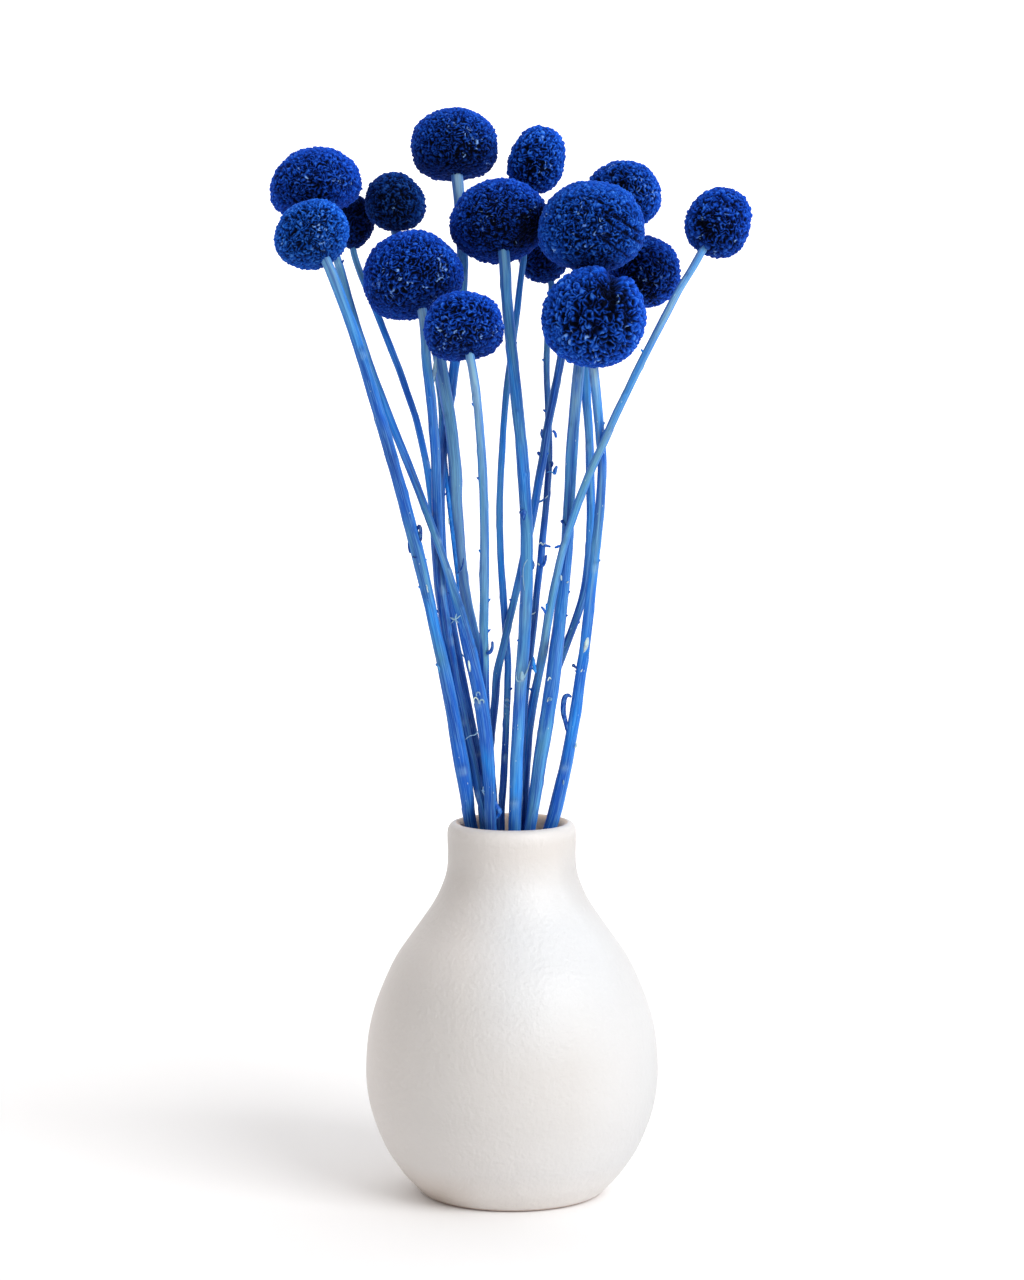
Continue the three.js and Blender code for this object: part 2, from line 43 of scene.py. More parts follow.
# ------------------------------------------------------------------ the frame's own numbers, in millimetres
# stems: (x, y, z, radius) from the cut end in the vase to the head
STEMS = {
  1: [
     (-4.1, -9.9, 7, 1.84), (-4.5, -9.9, 13.2, 1.84), (-5.45, -10.18, 23.3, 1.84), (-6.66, -11.11, 38.5, 1.84),
     (-6.73, -11.82, 53, 1.84), (-5.9, -11.3, 68, 1.84), (-5.4, -10.1, 83.8, 1.84), (-5.7, -9, 99.8, 1.84),
     (-6.5, -8.3, 116.5, 1.84), (-7.1, -7.9, 132.9, 2.02), (-8.2, -7.5, 148.3, 2.18),
     (-10.44, -7.44, 162.69, 2.33), (-13.53, -6.93, 176.39, 2.19), (-16.9, -6.4, 189.4, 1.71),
     (-20.69, -7.94, 202.4, 1.29), (-24.93, -8.42, 214.47, 1.28), (-29.26, -5.77, 225.89, 1.28),
     (-34.2, -3.7, 238, 1.34), (-39.9, -3.1, 252.4, 1.41), (-45.4, -2.3, 267.7, 1.35), (-50.2, -1.6, 282.7, 1.31),
     (-54.5, -1.7, 297.5, 1.29), (-57.6, -1.9, 306.9, 1.27), (-59.59, -1.69, 312.77, 1.26),
  ],
  2: [
     (-4.2, 19.1, 7, 2.05), (-4.5, 18.5, 12.9, 2.05), (-5, 17.4, 22.6, 2.05), (-6, 15.6, 38.8, 2.05),
     (-7.2, 13.5, 54.6, 2.05), (-8.2, 11.1, 69.6, 2.05), (-8.54, 8.01, 84.31, 2.05), (-9.31, 4.98, 97.8, 2.05),
     (-11.51, 2.56, 110.69, 2.05), (-13.6, 0.09, 121.2, 2.13), (-14.5, -4.3, 129.6, 2.22),
     (-16, -5.2, 139.3, 2.34), (-18.11, -5.11, 151.8, 2.25), (-20.92, -6.42, 166.39, 2.08),
     (-23.92, -7.42, 181.09, 1.9), (-27, -8.2, 194.9, 1.92), (-30.3, -10.2, 209.4, 2.01),
     (-34.3, -12.6, 225.2, 1.95), (-38.6, -15.2, 241.1, 1.87), (-43.1, -17.9, 257, 1.78),
     (-47.6, -20.4, 271.9, 1.7), (-51.9, -22, 285, 1.63), (-54.8, -23.6, 292.8, 1.58), (-57.07, -24, 298.04, 1.55),
  ],
  3: [
     (-4.5, 1.5, 7, 1.22), (-4.8, 1.6, 12.7, 1.22), (-5.2, 1.9, 21.9, 1.22), (-5.7, 2.7, 37.4, 1.22),
     (-6.5, 3.5, 52, 1.22), (-8.3, 4.3, 65.8, 1.22), (-11.02, 5.09, 79.9, 1.22), (-12.88, 6.25, 92.59, 1.22),
     (-12.85, 6.82, 104.6, 1.22), (-12.82, 5.55, 115.51, 1.23), (-14.2, 4.9, 126.4, 1.25),
     (-16.2, 5.4, 141.7, 1.23), (-18.6, 6.1, 158.6, 1.21), (-21, 6.8, 175.5, 1.19), (-23.2, 7.6, 191.5, 1.17),
     (-24.6, 8.4, 206.3, 1.16), (-25.6, 9.2, 221.3, 1.14), (-27.4, 9.9, 234.6, 1.12), (-30.5, 10.6, 247.6, 1.1),
     (-34.8, 11.4, 260.7, 1.08), (-40.2, 12.3, 274.4, 1.06), (-45.7, 13.5, 287.9, 1.03), (-48.9, 14.2, 296, 1.02),
     (-50.48, 14.61, 301.48, 1.01),
  ],
  4: [
     (-1.5, 8.9, 7, 1.53), (-1.8, 9, 13.2, 1.53), (-2.4, 8.8, 23.5, 1.53), (-3.3, 8, 40, 1.53),
     (-3.9, 7.7, 56.1, 1.53), (-4.2, 7.9, 72.9, 1.53), (-4.7, 8.1, 89.4, 1.53), (-5.6, 8.1, 105.9, 1.53),
     (-6.8, 8.7, 119, 1.58), (-7.7, 9.7, 131.2, 1.62), (-8.42, 8.93, 144.8, 1.67), (-9.4, 8.6, 160.1, 1.72),
     (-11.3, 8.5, 174.7, 1.76), (-14.4, 8.4, 189.5, 1.81), (-16.6, 8.3, 203.9, 1.94), (-17.7, 8.3, 218.5, 2),
     (-18.13, 7.04, 232.3, 2.03), (-19.36, 5.7, 245.6, 2.04), (-21.53, 6.35, 259, 2.05),
     (-24.2, 8.06, 272.7, 2.04), (-27.7, 10.52, 284.7, 1.89), (-31.4, 11.92, 294.6, 1.77),
     (-34.7, 9.66, 301.6, 1.67), (-36.63, 7.76, 307.04, 1.6),
  ],
  5: [
     (-2, -13.1, 7, 1.45), (-1.99, -12.7, 13.8, 1.45), (-2.15, -11.81, 25.6, 1.45), (-3.14, -10.09, 42.5, 1.45),
     (-4.99, -7.99, 60.8, 1.45), (-6.5, -5.9, 78.1, 1.45), (-7.4, -2.9, 95.4, 1.45), (-8.3, -0.1, 111.5, 1.45),
     (-9.42, 0.2, 124, 1.5), (-10.35, 1.8, 133.1, 1.5), (-11.4, 3.9, 141.9, 1.5), (-13.6, 2.1, 153.9, 1.5),
     (-16.6, 2.6, 168.5, 1.5), (-19.7, 3.7, 186, 1.5), (-22, 4.7, 202.9, 1.52), (-22.9, 5.7, 218.6, 1.55),
     (-22.49, 7.98, 233, 1.58), (-20.82, 10.11, 247.39, 1.6), (-18.57, 9.93, 262.1, 1.63),
     (-16.6, 9.8, 277.2, 1.66), (-15.8, 11.1, 292.6, 1.72), (-16, 13.5, 307.4, 1.77), (-16.8, 14.3, 317.9, 1.81),
     (-17.43, 14.87, 324.61, 1.83),
  ],
  6: [
     (-7.9, -7.2, 7, 1.15), (-7.6, -7, 13.6, 1.15), (-7.3, -6.6, 25.1, 1.15), (-6.9, -5.8, 43, 1.15),
     (-6.3, -4.6, 60.4, 1.15), (-5.3, -3, 78, 1.15), (-4.18, -1.92, 94.2, 1.15), (-3.57, -2.3, 109.1, 1.15),
     (-3.3, -2.9, 123.6, 1.18), (-2.4, -2, 139.7, 1.17), (-1.8, -1.9, 154, 1.15), (-1.41, 0.13, 163.98, 1.14),
     (-1.28, 5.67, 171.26, 1.14), (-2.13, 5.92, 181.6, 1.13), (-3.02, 4.01, 194.9, 1.11), (-3.7, 3.5, 207.9, 1.1),
     (-3.9, 5.2, 222.9, 1.09), (-3.1, 6.9, 239.6, 1.07), (-1.7, 8.8, 257.2, 1.04), (0.4, 10.5, 272.8, 1.02),
     (2.3, 12.2, 288.2, 1), (4.2, 13.5, 302.6, 0.97), (4.9, 14.3, 312.4, 0.96), (5.37, 14.97, 318.85, 0.95),
  ],
  7: [
     (7, -8.1, 7, 1.38), (6.6, -8, 12.7, 1.38), (5.9, -7.8, 22.7, 1.38), (4.7, -7, 37.3, 1.38),
     (3.2, -5.49, 52.2, 1.38), (1.42, -4, 66.4, 1.38), (-0.59, -3.92, 79.3, 1.38), (-3.11, -4.96, 93.4, 1.38),
     (-5.43, -4.81, 106.4, 1.38), (-7.8, -3.7, 118.5, 1.38), (-10.4, -3.6, 130, 1.46), (-13, -2.2, 141.9, 1.5),
     (-15.59, -2.09, 153.9, 1.55), (-18.28, -3.48, 167.91, 1.6), (-20.68, -5.18, 182.11, 1.65),
     (-22.21, -5.79, 194.1, 1.7), (-23.28, -4.7, 206.6, 1.73), (-23.55, -5.08, 218.13, 1.7),
     (-23.8, -8.3, 229.5, 1.66), (-24.2, -10, 241.7, 1.63), (-25.2, -10.6, 255.1, 1.59),
     (-26.8, -10.3, 268.5, 1.55), (-27.3, -10.7, 277, 1.52), (-27.91, -10.52, 282.48, 1.5),
  ],
  8: [
     (1.9, 19.5, 7, 1.56), (1.7, 19, 12.4, 1.56), (1.3, 18, 21.7, 1.56), (0.5, 16.5, 37, 1.56),
     (-0.2, 14.7, 51.9, 1.56), (-0.6, 12.7, 65.9, 1.56), (-0.8, 10.2, 79.6, 1.56), (-1.3, 7.3, 92.7, 1.56),
     (-2.6, 4.6, 105.3, 1.56), (-4.6, 2.8, 116.4, 1.57), (-6.08, 2.8, 125.6, 1.6), (-6.75, 1.2, 133, 1.6),
     (-7.4, -2.4, 140.2, 1.59), (-8.1, -2.4, 150.1, 1.58), (-8.57, -3.07, 161.71, 1.56),
     (-8.76, -5.26, 173.91, 1.55), (-8.8, -8.6, 187.2, 1.54), (-8.7, -11.8, 201.9, 1.52),
     (-8.7, -15.1, 216.6, 1.5), (-9.1, -18.4, 230.9, 1.48), (-9.8, -21.8, 244.7, 1.46), (-11, -24.8, 257, 1.44),
     (-12, -27.4, 264.2, 1.43), (-12.95, -28.12, 269.19, 1.42),
  ],
  9: [
     (0, -8.6, 7, 1.99), (-0.1, -8.5, 12.4, 1.99), (0, -8.4, 20.6, 1.99), (0.6, -8.6, 33.7, 1.99),
     (0.8, -9.5, 46.8, 1.99), (0.5, -11.11, 60.6, 1.99), (0.2, -11.93, 73.2, 1.99), (-0.01, -11.32, 85.7, 1.99),
     (0.1, -9.9, 99.5, 1.99), (0.7, -8.6, 113.1, 1.99), (1, -8.2, 125.9, 2.04), (1.4, -8.1, 139.9, 2.02),
     (2.2, -8, 154.8, 2), (3.3, -7.8, 170.8, 1.98), (4.3, -7.7, 186, 1.95), (4.7, -7.6, 200.2, 1.93),
     (4.6, -7.4, 214.1, 1.91), (3.8, -7.3, 228.3, 1.9), (2.6, -7.1, 243.1, 1.88), (1, -6.9, 258.8, 1.86),
     (-0.6, -6.8, 274.6, 1.83), (-1.8, -6.7, 287.6, 1.82), (-2.1, -7.1, 295, 1.81), (-2.53, -6.55, 300.22, 1.8),
  ],
  10: [
     (-4.7, -5.7, 7, 1.84), (-4.4, -5.6, 13.1, 1.84), (-3.7, -5.3, 23.8, 1.84), (-2.5, -5.4, 39.4, 1.84),
     (-1.31, -6.42, 54.9, 1.84), (-0.02, -7.56, 70, 1.84), (1.7, -7.4, 85, 1.84), (3.5, -6.9, 101.3, 1.84),
     (5.2, -7, 116.1, 1.84), (7.5, -7.3, 130.9, 2.01), (10, -7.5, 147.1, 2.18), (11.9, -8.6, 160, 2.33),
     (13.2, -10.8, 170.6, 2.27), (14.25, -8.3, 178.09, 2.15), (15.01, -4.7, 184.9, 2.05),
     (16.1, -6.8, 194.6, 1.95), (17.1, -8.6, 207.5, 1.9), (17.9, -9.9, 222.6, 1.84), (18.6, -10.5, 238.5, 1.81),
     (19.8, -11.1, 254.2, 1.78), (21.3, -11.1, 268.1, 1.76), (22.7, -10, 280.2, 1.74), (24, -11.4, 288.7, 1.72),
     (24.63, -12.6, 294.58, 1.71),
  ],
  11: [
     (-10.6, 1, 7, 1.22), (-10.5, 1.2, 13.6, 1.22), (-10.4, 1.5, 25.7, 1.22), (-10.3, 1.7, 43.7, 1.22),
     (-9.8, 1.6, 60.6, 1.22), (-8.4, 1.4, 77.4, 1.22), (-6.94, 1.46, 93.5, 1.22), (-7.01, 2.44, 107.71, 1.22),
     (-8.1, 4.9, 120.6, 1.26), (-7.7, 6.2, 132.9, 1.27), (-6.78, 5.67, 146.3, 1.27), (-5.5, 6.8, 158.3, 1.28),
     (-4.77, 3.52, 167.54, 1.28), (-2.74, 1.37, 176.41, 1.29), (0.24, 4.07, 188.4, 1.29), (3.2, 7.8, 201, 1.3),
     (6.2, 8.9, 215, 1.3), (9.2, 9.7, 231.9, 1.31), (12.2, 10.8, 249.9, 1.31), (15.6, 11.8, 267.2, 1.32),
     (19.4, 12.8, 283.9, 1.33), (23, 13.3, 296.7, 1.33), (28.3, 13.6, 303.7, 1.34), (32.17, 13.94, 308.7, 1.34),
  ],
  12: [
     (-4, 5.4, 7, 2.05), (-3.3, 5.1, 12, 2.05), (-2.3, 4.7, 20, 2.05), (-0.7, 4.2, 33.6, 2.05),
     (0.6, 3.6, 47.2, 2.05), (1.7, 2.6, 60.6, 2.05), (2.9, 1.2, 74.2, 2.05), (4.4, 0.4, 86.2, 2.05),
     (6.6, 0.21, 98.3, 2.05), (9.3, -0.1, 109.9, 2.05), (12.5, -1, 119.3, 2.11), (15.2, -1.9, 129.9, 2.06),
     (17.8, -3.3, 142.5, 2), (20, -5.1, 155.6, 1.9), (21.9, -7.1, 169.1, 1.79), (23.6, -9.3, 183, 1.7),
     (25.1, -11.6, 197.1, 1.62), (26.5, -14.2, 210.9, 1.55), (27.6, -16.2, 223.1, 1.48),
     (28.09, -16.76, 234.05, 1.42), (27.54, -18.25, 243.63, 1.46), (26.5, -22.5, 253.4, 1.5),
     (25.7, -24.6, 260.5, 1.53), (25.17, -25.67, 265.4, 1.55),
  ],
  13: [
     (2.2, -3.7, 7, 1.15), (2.3, -3.6, 12.7, 1.15), (2.6, -3.4, 22.3, 1.15), (3.2, -2.8, 37.9, 1.15),
     (4, -2.3, 53.1, 1.15), (4.4, -2.6, 67.2, 1.15), (4.6, -3.3, 82.3, 1.15), (4.9, -3.31, 95.8, 1.15),
     (5.79, -2.11, 109.5, 1.15), (6.8, -0.9, 122.9, 1.19), (7.6, -0.4, 136.5, 1.22), (9.5, 0.2, 149.9, 1.24),
     (12.4, 0.9, 162.7, 1.26), (16.7, 1.7, 175.3, 1.29), (21.3, 2.4, 187.7, 1.31), (23.9, 3.2, 199.4, 1.33),
     (24.8, 4.1, 212.3, 1.36), (24.9, 5.1, 227, 1.38), (24.5, 6.2, 242, 1.41), (23.6, 7.3, 256.2, 1.44),
     (23.9, 7.9, 267.7, 1.46), (26.5, 8.3, 276.4, 1.47), (31.7, 8.5, 281.2, 1.49), (35.78, 8.84, 284.94, 1.49),
  ],
  14: [
     (1.9, 7.8, 7, 1.45), (2, 7.7, 13.6, 1.45), (2.2, 7.6, 25.7, 1.45), (2.5, 7.3, 44.8, 1.45),
     (2.8, 6.7, 63.2, 1.45), (3.1, 5.8, 82.1, 1.45), (3.5, 5, 101, 1.45), (3.9, 3.8, 117.2, 1.48),
     (4.2, 2.6, 132.7, 1.47), (5.2, 2.4, 146.9, 1.44), (6.75, 2.8, 157.89, 1.42), (8.34, -1.4, 167.09, 1.4),
     (10.07, -5.2, 176.5, 1.39), (11.08, -10.8, 184.3, 1.37), (13, -10.9, 194.9, 1.35), (15.9, -12.3, 208, 1.32),
     (20.2, -14.7, 221.6, 1.3), (24.95, -19.38, 234.31, 1.28), (30.06, -22.41, 246.18, 1.26),
     (36.1, -23.7, 259.5, 1.23), (42.9, -27.2, 273.6, 1.21), (50.2, -30.5, 287.7, 1.18), (55, -32.9, 296.2, 1.17),
     (58.14, -33.91, 301.69, 1.15),
  ],
  15: [
     (-1.1, -3.1, 7, 1.15), (-0.9, -3, 12.7, 1.15), (-0.7, -2.9, 22.3, 1.15), (-0.4, -2.4, 37.8, 1.15),
     (-0.3, -1.6, 53.8, 1.15), (-0.3, -0.9, 69, 1.15), (0.1, -0.9, 83.5, 1.15), (0.9, -1.4, 99, 1.15),
     (1.6, -1.4, 113.2, 1.15), (2.1, -0.6, 127.1, 1.18), (2.8, -0.5, 140.5, 1.16), (3.6, -1.5, 152, 1.15),
     (4.25, -0.2, 160.21, 1.14), (4.97, 4.7, 167.1, 1.14), (6.2, 6.4, 177, 1.13), (7.7, 7.8, 190.2, 1.11),
     (9.4, 10.3, 205.4, 1.1), (11, 13, 221.1, 1.08), (11.9, 15.4, 234.9, 1.07), (11.6, 17.9, 249, 1.05),
     (11.1, 20.5, 263.7, 1.04), (11.4, 22.7, 276.9, 1.03), (12.4, 24, 285.1, 1.02), (12.56, 24.99, 290.69, 1.01),
  ],
}
# heads: centre, axis, radius across the axis, height of the crown half along it, how square the base half is, and how
# tall it is against the crown half
HEADS = {
  1: ((-61.4, -0.5, 321.2), (-0.208, 0.137, 0.968), 14.5, 12.66, 2.7, 0.64),
  2: ((-61.6, -20, 306.1), (-0.449, 0.397, 0.8), 11.98, 10.89, 2, 0.87),
  3: ((-50.6, 15.5, 310.2), (-0.014, 0.102, 0.995), 7.19, 8.69, 2, 0.94),
  4: ((-36.9, 6, 316.2), (-0.029, -0.189, 0.981), 9.45, 9.81, 2.2, 0.89),
  5: ((-18.3, 18, 334.8), (-0.081, 0.293, 0.953), 13.89, 11.6, 3.3, 0.87),
  6: ((7.5, 16, 328.8), (0.208, 0.101, 0.973), 9.19, 12.19, 2.12, 0.79),
  7: ((-31.1, -6, 293), (-0.268, 0.38, 0.885), 15.74, 14.66, 2.66, 0.77),
  8: ((-15.1, -24, 278.7), (-0.203, 0.389, 0.898), 12.43, 10.08, 2.5, 0.99),
  9: ((-4.2, 0, 310.7), (-0.134, 0.525, 0.84), 15.51, 12.49, 2.24, 0.95),
  10: ((24.7, -14, 308.8), (0.005, -0.098, 0.995), 16.63, 14.41, 2.29, 0.95),
  11: ((35.2, 15, 318.6), (0.291, 0.102, 0.951), 12.24, 11.54, 2, 0.85),
  12: ((25.3, -28, 281.2), (0.008, -0.146, 0.989), 16.14, 15.53, 2.17, 0.99),
  13: ((41.8, 10, 294.8), (0.519, 0.1, 0.849), 12.34, 11.12, 2.1, 0.99),
  14: ((62.4, -30, 308.8), (0.465, 0.426, 0.776), 10.04, 13.18, 2.14, 0.65),
  15: ((9.9, 26, 298.7), (-0.313, 0.119, 0.942), 8.17, 7.52, 2, 1.05),
}
VASE_OUT = [(0, 0), (13, 0), (24, 0), (27.1, 0), (28.4, 0.25), (29.3, 0.8), (30.4, 1.75), (31.9, 3.4), (34.38, 6), (37.34, 10),
            (40.52, 15), (43.17, 21), (45.46, 28), (46.75, 36), (46.76, 44), (45.97, 52), (44.1, 60), (41.09, 68),
            (37.31, 76), (32.58, 83), (28.34, 89), (25.02, 94), (22.55, 99), (20.9, 104), (20.46, 109), (20.6, 114),
            (20.57, 117.2), (20.1, 118.75), (19.25, 119.65), (18.15, 120), (17.05, 119.65), (16.2, 118.8),
            (15.76, 117.3), (15.7, 112), (15.9, 108), (16.3, 104), (17.7, 99), (20.0, 94), (23.3, 89), (27.6, 83),
            (32.5, 76), (36.5, 68), (39.6, 60), (41.6, 52), (42.5, 44), (42.4, 36), (41.0, 28), (38.6, 21), (35.5, 15),
            (31.0, 10.2), (26, 7.2), (20, 5.3), (9, 5), (0, 5)]

# ------------------------------------------------------------------ camera
CAM = np.array([0.0, -1200.0, 310.0])
AIM = np.array([0.0, 0.0, 178.36])
FOCAL_PX = 3801.0
W_PX, H_PX = 1024, 1280
fwd = (AIM - CAM) / np.linalg.norm(AIM - CAM)
right = np.array([1.0, 0.0, 0.0])
up = np.cross(right, fwd)

cam = bpy.data.cameras.new("camera")
cam.sensor_fit = "VERTICAL"
cam.sensor_height = 36.0
cam.lens = FOCAL_PX / H_PX * 36.0
cam.clip_end = 50
cam_ob = bpy.data.objects.new("camera", cam)
cam_ob.location = CAM * MM
cam_ob.rotation_euler = Vector(tuple(fwd)).to_track_quat("-Z", "Y").to_euler()
bpy.context.scene.collection.objects.link(cam_ob)
bpy.context.scene.camera = cam_ob


def to_frame(p):
    """Where points in millimetres fall in the 1024 x 1280 frame, with their distance."""
    d = np.atleast_2d(p) - CAM
    z = d @ fwd
    return W_PX / 2 + FOCAL_PX * (d @ right) / z, H_PX / 2 - FOCAL_PX * (d @ up) / z, z


# ------------------------------------------------------------------ small tools
def srgb(h):
    c = np.array([int(h[i:i + 2], 16) / 255 for i in (1, 3, 5)])
    return np.where(c <= 0.04045, c / 12.92, ((c + 0.055) / 1.055) ** 2.4)


def link(name, verts, faces, smooth=True):
    me = bpy.data.meshes.new(name)
    faces = np.asarray(faces)
    n, k = faces.shape
    me.vertices.add(len(verts))
    me.vertices.foreach_set("co", (np.asarray(verts, float) * MM).astype(np.float32).ravel())
    me.loops.add(n * k)
    me.loops.foreach_set("vertex_index", faces.astype(np.int32).ravel())
    me.polygons.add(n)
    me.polygons.foreach_set("loop_start", np.arange(0, n * k, k, dtype=np.int32))
    me.polygons.foreach_set("loop_total", np.full(n, k, dtype=np.int32))
    me.polygons.foreach_set("use_smooth", np.full(n, smooth))
    me.update(calc_edges=True)
    me.validate()
    ob = bpy.data.objects.new(name, me)
    bpy.context.scene.collection.objects.link(ob)
    return ob


def put(me, name, kind, data):
    a = me.attributes.new(name, kind, "POINT")
    a.data.foreach_set({"FLOAT": "value", "FLOAT_VECTOR": "vector", "FLOAT_COLOR": "color"}[kind],
                       np.asarray(data, np.float32).ravel())


def smooth_noise(x, seed, step):
    """Soft one-dimensional noise in -1..1 with a knot every step."""
    rng = np.random.default_rng(seed)
    x = np.asarray(x, float) / step
    n = int(np.ceil(x.max())) + 3
    k = rng.uniform(-1, 1, n + 2)
    i = np.floor(x).astype(int)
    f = x - i
    f = f * f * (3 - 2 * f)
    return k[i] * (1 - f) + k[i + 1] * f


# ------------------------------------------------------------------ curves
def cr_seg(p0, p1, p2, p3, w):
    d0 = np.sum((p0 - p1) ** 2) ** 0.25
    d1 = np.sum((p1 - p2) ** 2) ** 0.25
    d2 = np.sum((p2 - p3) ** 2) ** 0.25
    d1 = d1 if d1 > 1e-4 else 1.0
    d0 = d0 if d0 > 1e-4 else d1
    d2 = d2 if d2 > 1e-4 else d1
    t1 = ((p1 - p0) / d0 - (p2 - p0) / (d0 + d1) + (p2 - p1) / d1) * d1
    t2 = ((p2 - p1) / d1 - (p3 - p1) / (d1 + d2) + (p3 - p2) / d2) * d1
    w = w[:, None]
    return p1 + t1 * w + (-3 * p1 + 3 * p2 - 2 * t1 - t2) * w ** 2 + (2 * p1 - 2 * p2 + t1 + t2) * w ** 3


def centre_line(P, n=12):
    P = np.asarray(P, float)
    out, us = [], []
    for i in range(len(P) - 1):
        p0 = P[i - 1] if i > 0 else 2 * P[0] - P[1]
        p3 = P[i + 2] if i + 2 < len(P) else 2 * P[-1] - P[-2]
        w = np.arange(n) / n
        out.append(cr_seg(p0, P[i], P[i + 1], p3, w))
        us.append(i + w)
    out.append(P[-1:])
    us.append([len(P) - 1.0])
    return np.vstack(out), np.concatenate(us)


def frames(c):
    """Tangents and two side directions carried along a line without twist."""
    t = np.gradient(c, axis=0)
    t /= np.linalg.norm(t, axis=1)[:, None]
    a = np.zeros_like(c)
    s = np.array([1.0, 0, 0])
    for i in range(len(c)):
        s = s - t[i] * (s @ t[i])
        s /= np.linalg.norm(s)
        a[i] = s
    return t, a, np.cross(t, a)


def tube(c, r, sides):
    """A closed tube: rings of sides points with radii r (one per ring, or one per ring and side)."""
    t, a, b = frames(c)
    th = np.arange(sides) / sides * 2 * np.pi
    r = np.asarray(r, float)
    if r.ndim == 1:
        r = np.repeat(r[:, None], sides, axis=1)
    v = c[:, None] + r[..., None] * (np.cos(th)[None, :, None] * a[:, None] + np.sin(th)[None, :, None] * b[:, None])
    n = len(c)
    i = np.arange(n - 1)[:, None] * sides
    j = np.arange(sides)[None]
    jn = (j + 1) % sides
    quads = np.stack([i + j, i + jn, i + sides + jn, i + sides + j], -1).reshape(-1, 4)
    v = v.reshape(-1, 3)
    lo, hi = len(v), len(v) + 1
    v = np.vstack([v, c[:1], c[-1:]])
    j = np.arange(sides)
    tris = np.vstack([np.stack([np.full(sides, lo), (j + 1) % sides, j], 1),
                      np.stack([np.full(sides, hi), (n - 1) * sides + j, (n - 1) * sides + (j + 1) % sides], 1)])
    q = np.vstack([quads[:, [0, 1, 2]], quads[:, [0, 2, 3]], tris])
    return v, q


# ------------------------------------------------------------------ materials
def new_mat(name):
    m = bpy.data.materials.new(name)
    m.use_nodes = True
    nt = m.node_tree
    nt.nodes.clear()
    out = nt.nodes.new("ShaderNodeOutputMaterial")
    b = nt.nodes.new("ShaderNodeBsdfPrincipled")
    nt.links.new(b.outputs[0], out.inputs[0])
    return m, nt, b


def node(nt, kind, **kw):
    n = nt.nodes.new(kind)
    for k, v in kw.items():
        if k.startswith("in_"):
            n.inputs[int(k[3:]) if k[3:].isdigit() else k[3:]].default_value = v
        else:
            setattr(n, k, v)
    return n


def attr(nt, name):
    n = nt.nodes.new("ShaderNodeAttribute")
    n.attribute_name = name
    return n


def ramp(nt, fac, stops, interp="LINEAR"):
    n = nt.nodes.new("ShaderNodeValToRGB")
    n.color_ramp.interpolation = interp
    e = n.color_ramp.elements
    while len(e) < len(stops):
        e.new(0.5)
    for el, (p, c) in zip(e, stops):
        el.position = p
        el.color = (*srgb(c), 1) if isinstance(c, str) else (*c, 1)
    nt.links.new(fac, n.inputs[0])
    return n.outputs[0]


def mix(nt, fac, a, b, blend="MIX"):
    n = nt.nodes.new("ShaderNodeMix")
    n.data_type = "RGBA"
    n.blend_type = blend
    n.clamp_factor = True
    for s, v in ((n.inputs[0], fac), (n.inputs[6], a), (n.inputs[7], b)):
        if isinstance(v, bpy.types.NodeSocket):
            nt.links.new(v, s)
        elif isinstance(v, (int, float)):
            s.default_value = v
        else:
            s.default_value = (*v, 1)
    return n.outputs[2]


def math_node(nt, op, a, b=0.0, c=0.0, clamp=False):
    n = nt.nodes.new("ShaderNodeMath")
    n.operation = op
    n.use_clamp = clamp
    for s, v in zip(n.inputs, (a, b, c)):
        if isinstance(v, bpy.types.NodeSocket):
            nt.links.new(v, s)
        else:
            s.default_value = v
    return n.outputs[0]


def noise(nt, coord, scale, detail=3.0, rough=0.55):
    n = node(nt, "ShaderNodeTexNoise")
    n.inputs["Scale"].default_value = scale
    n.inputs["Detail"].default_value = detail
    n.inputs["Roughness"].default_value = rough
    nt.links.new(coord, n.inputs["Vector"])
    return n.outputs["Fac"]


def bump(nt, b, height, strength, distance):
    n = node(nt, "ShaderNodeBump")
    n.inputs["Strength"].default_value = strength
    n.inputs["Distance"].default_value = distance
    nt.links.new(height, n.inputs["Height"])
    nt.links.new(n.outputs[0], b.inputs["Normal"])


# matte ceramic: warm white body, faint mottling and fine orange peel
ceramic, nt, b = new_mat("matte_ceramic")
co = node(nt, "ShaderNodeTexCoord").outputs["Object"]
cloud = noise(nt, co, 28, 3)
fine = noise(nt, co, 420, 2, 0.5)
cx = node(nt, "ShaderNodeSeparateXYZ")
nt.links.new(co, cx.inputs[0])
side = math_node(nt, "MULTIPLY_ADD", cx.outputs[0], 10.6, 0.5, clamp=True)
# painted light and shade across the body from left to right: a lighter, warmer tint on the left stands in for warm
# light thrown onto the shaded side, and the far right is painted greyer to dim the lit side
col = ramp(nt, side, [(0.0, "#e4deda"), (0.10, "#dad5d1"), (0.35, "#d8d4d1"), (0.72, "#d7d6d6"), (0.88, "#d0d0d1"), (1.0, "#c8c9ca")])
# painted shade: the neck and the top of the shoulder are painted greyer
neck_shade = ramp(nt, math_node(nt, "MULTIPLY", cx.outputs[2], 8.333), [(0.70, (0, 0, 0)), (0.79, (0.42, 0.42, 0.42)), (0.86, (0.98, 0.98, 0.98)), (0.92, (1, 1, 1)), (0.96, (1, 1, 1)), (1.0, (0.2, 0.2, 0.2))])
col = mix(nt, math_node(nt, "MULTIPLY", neck_shade, 1.0), col, srgb("#c6c1bd"))
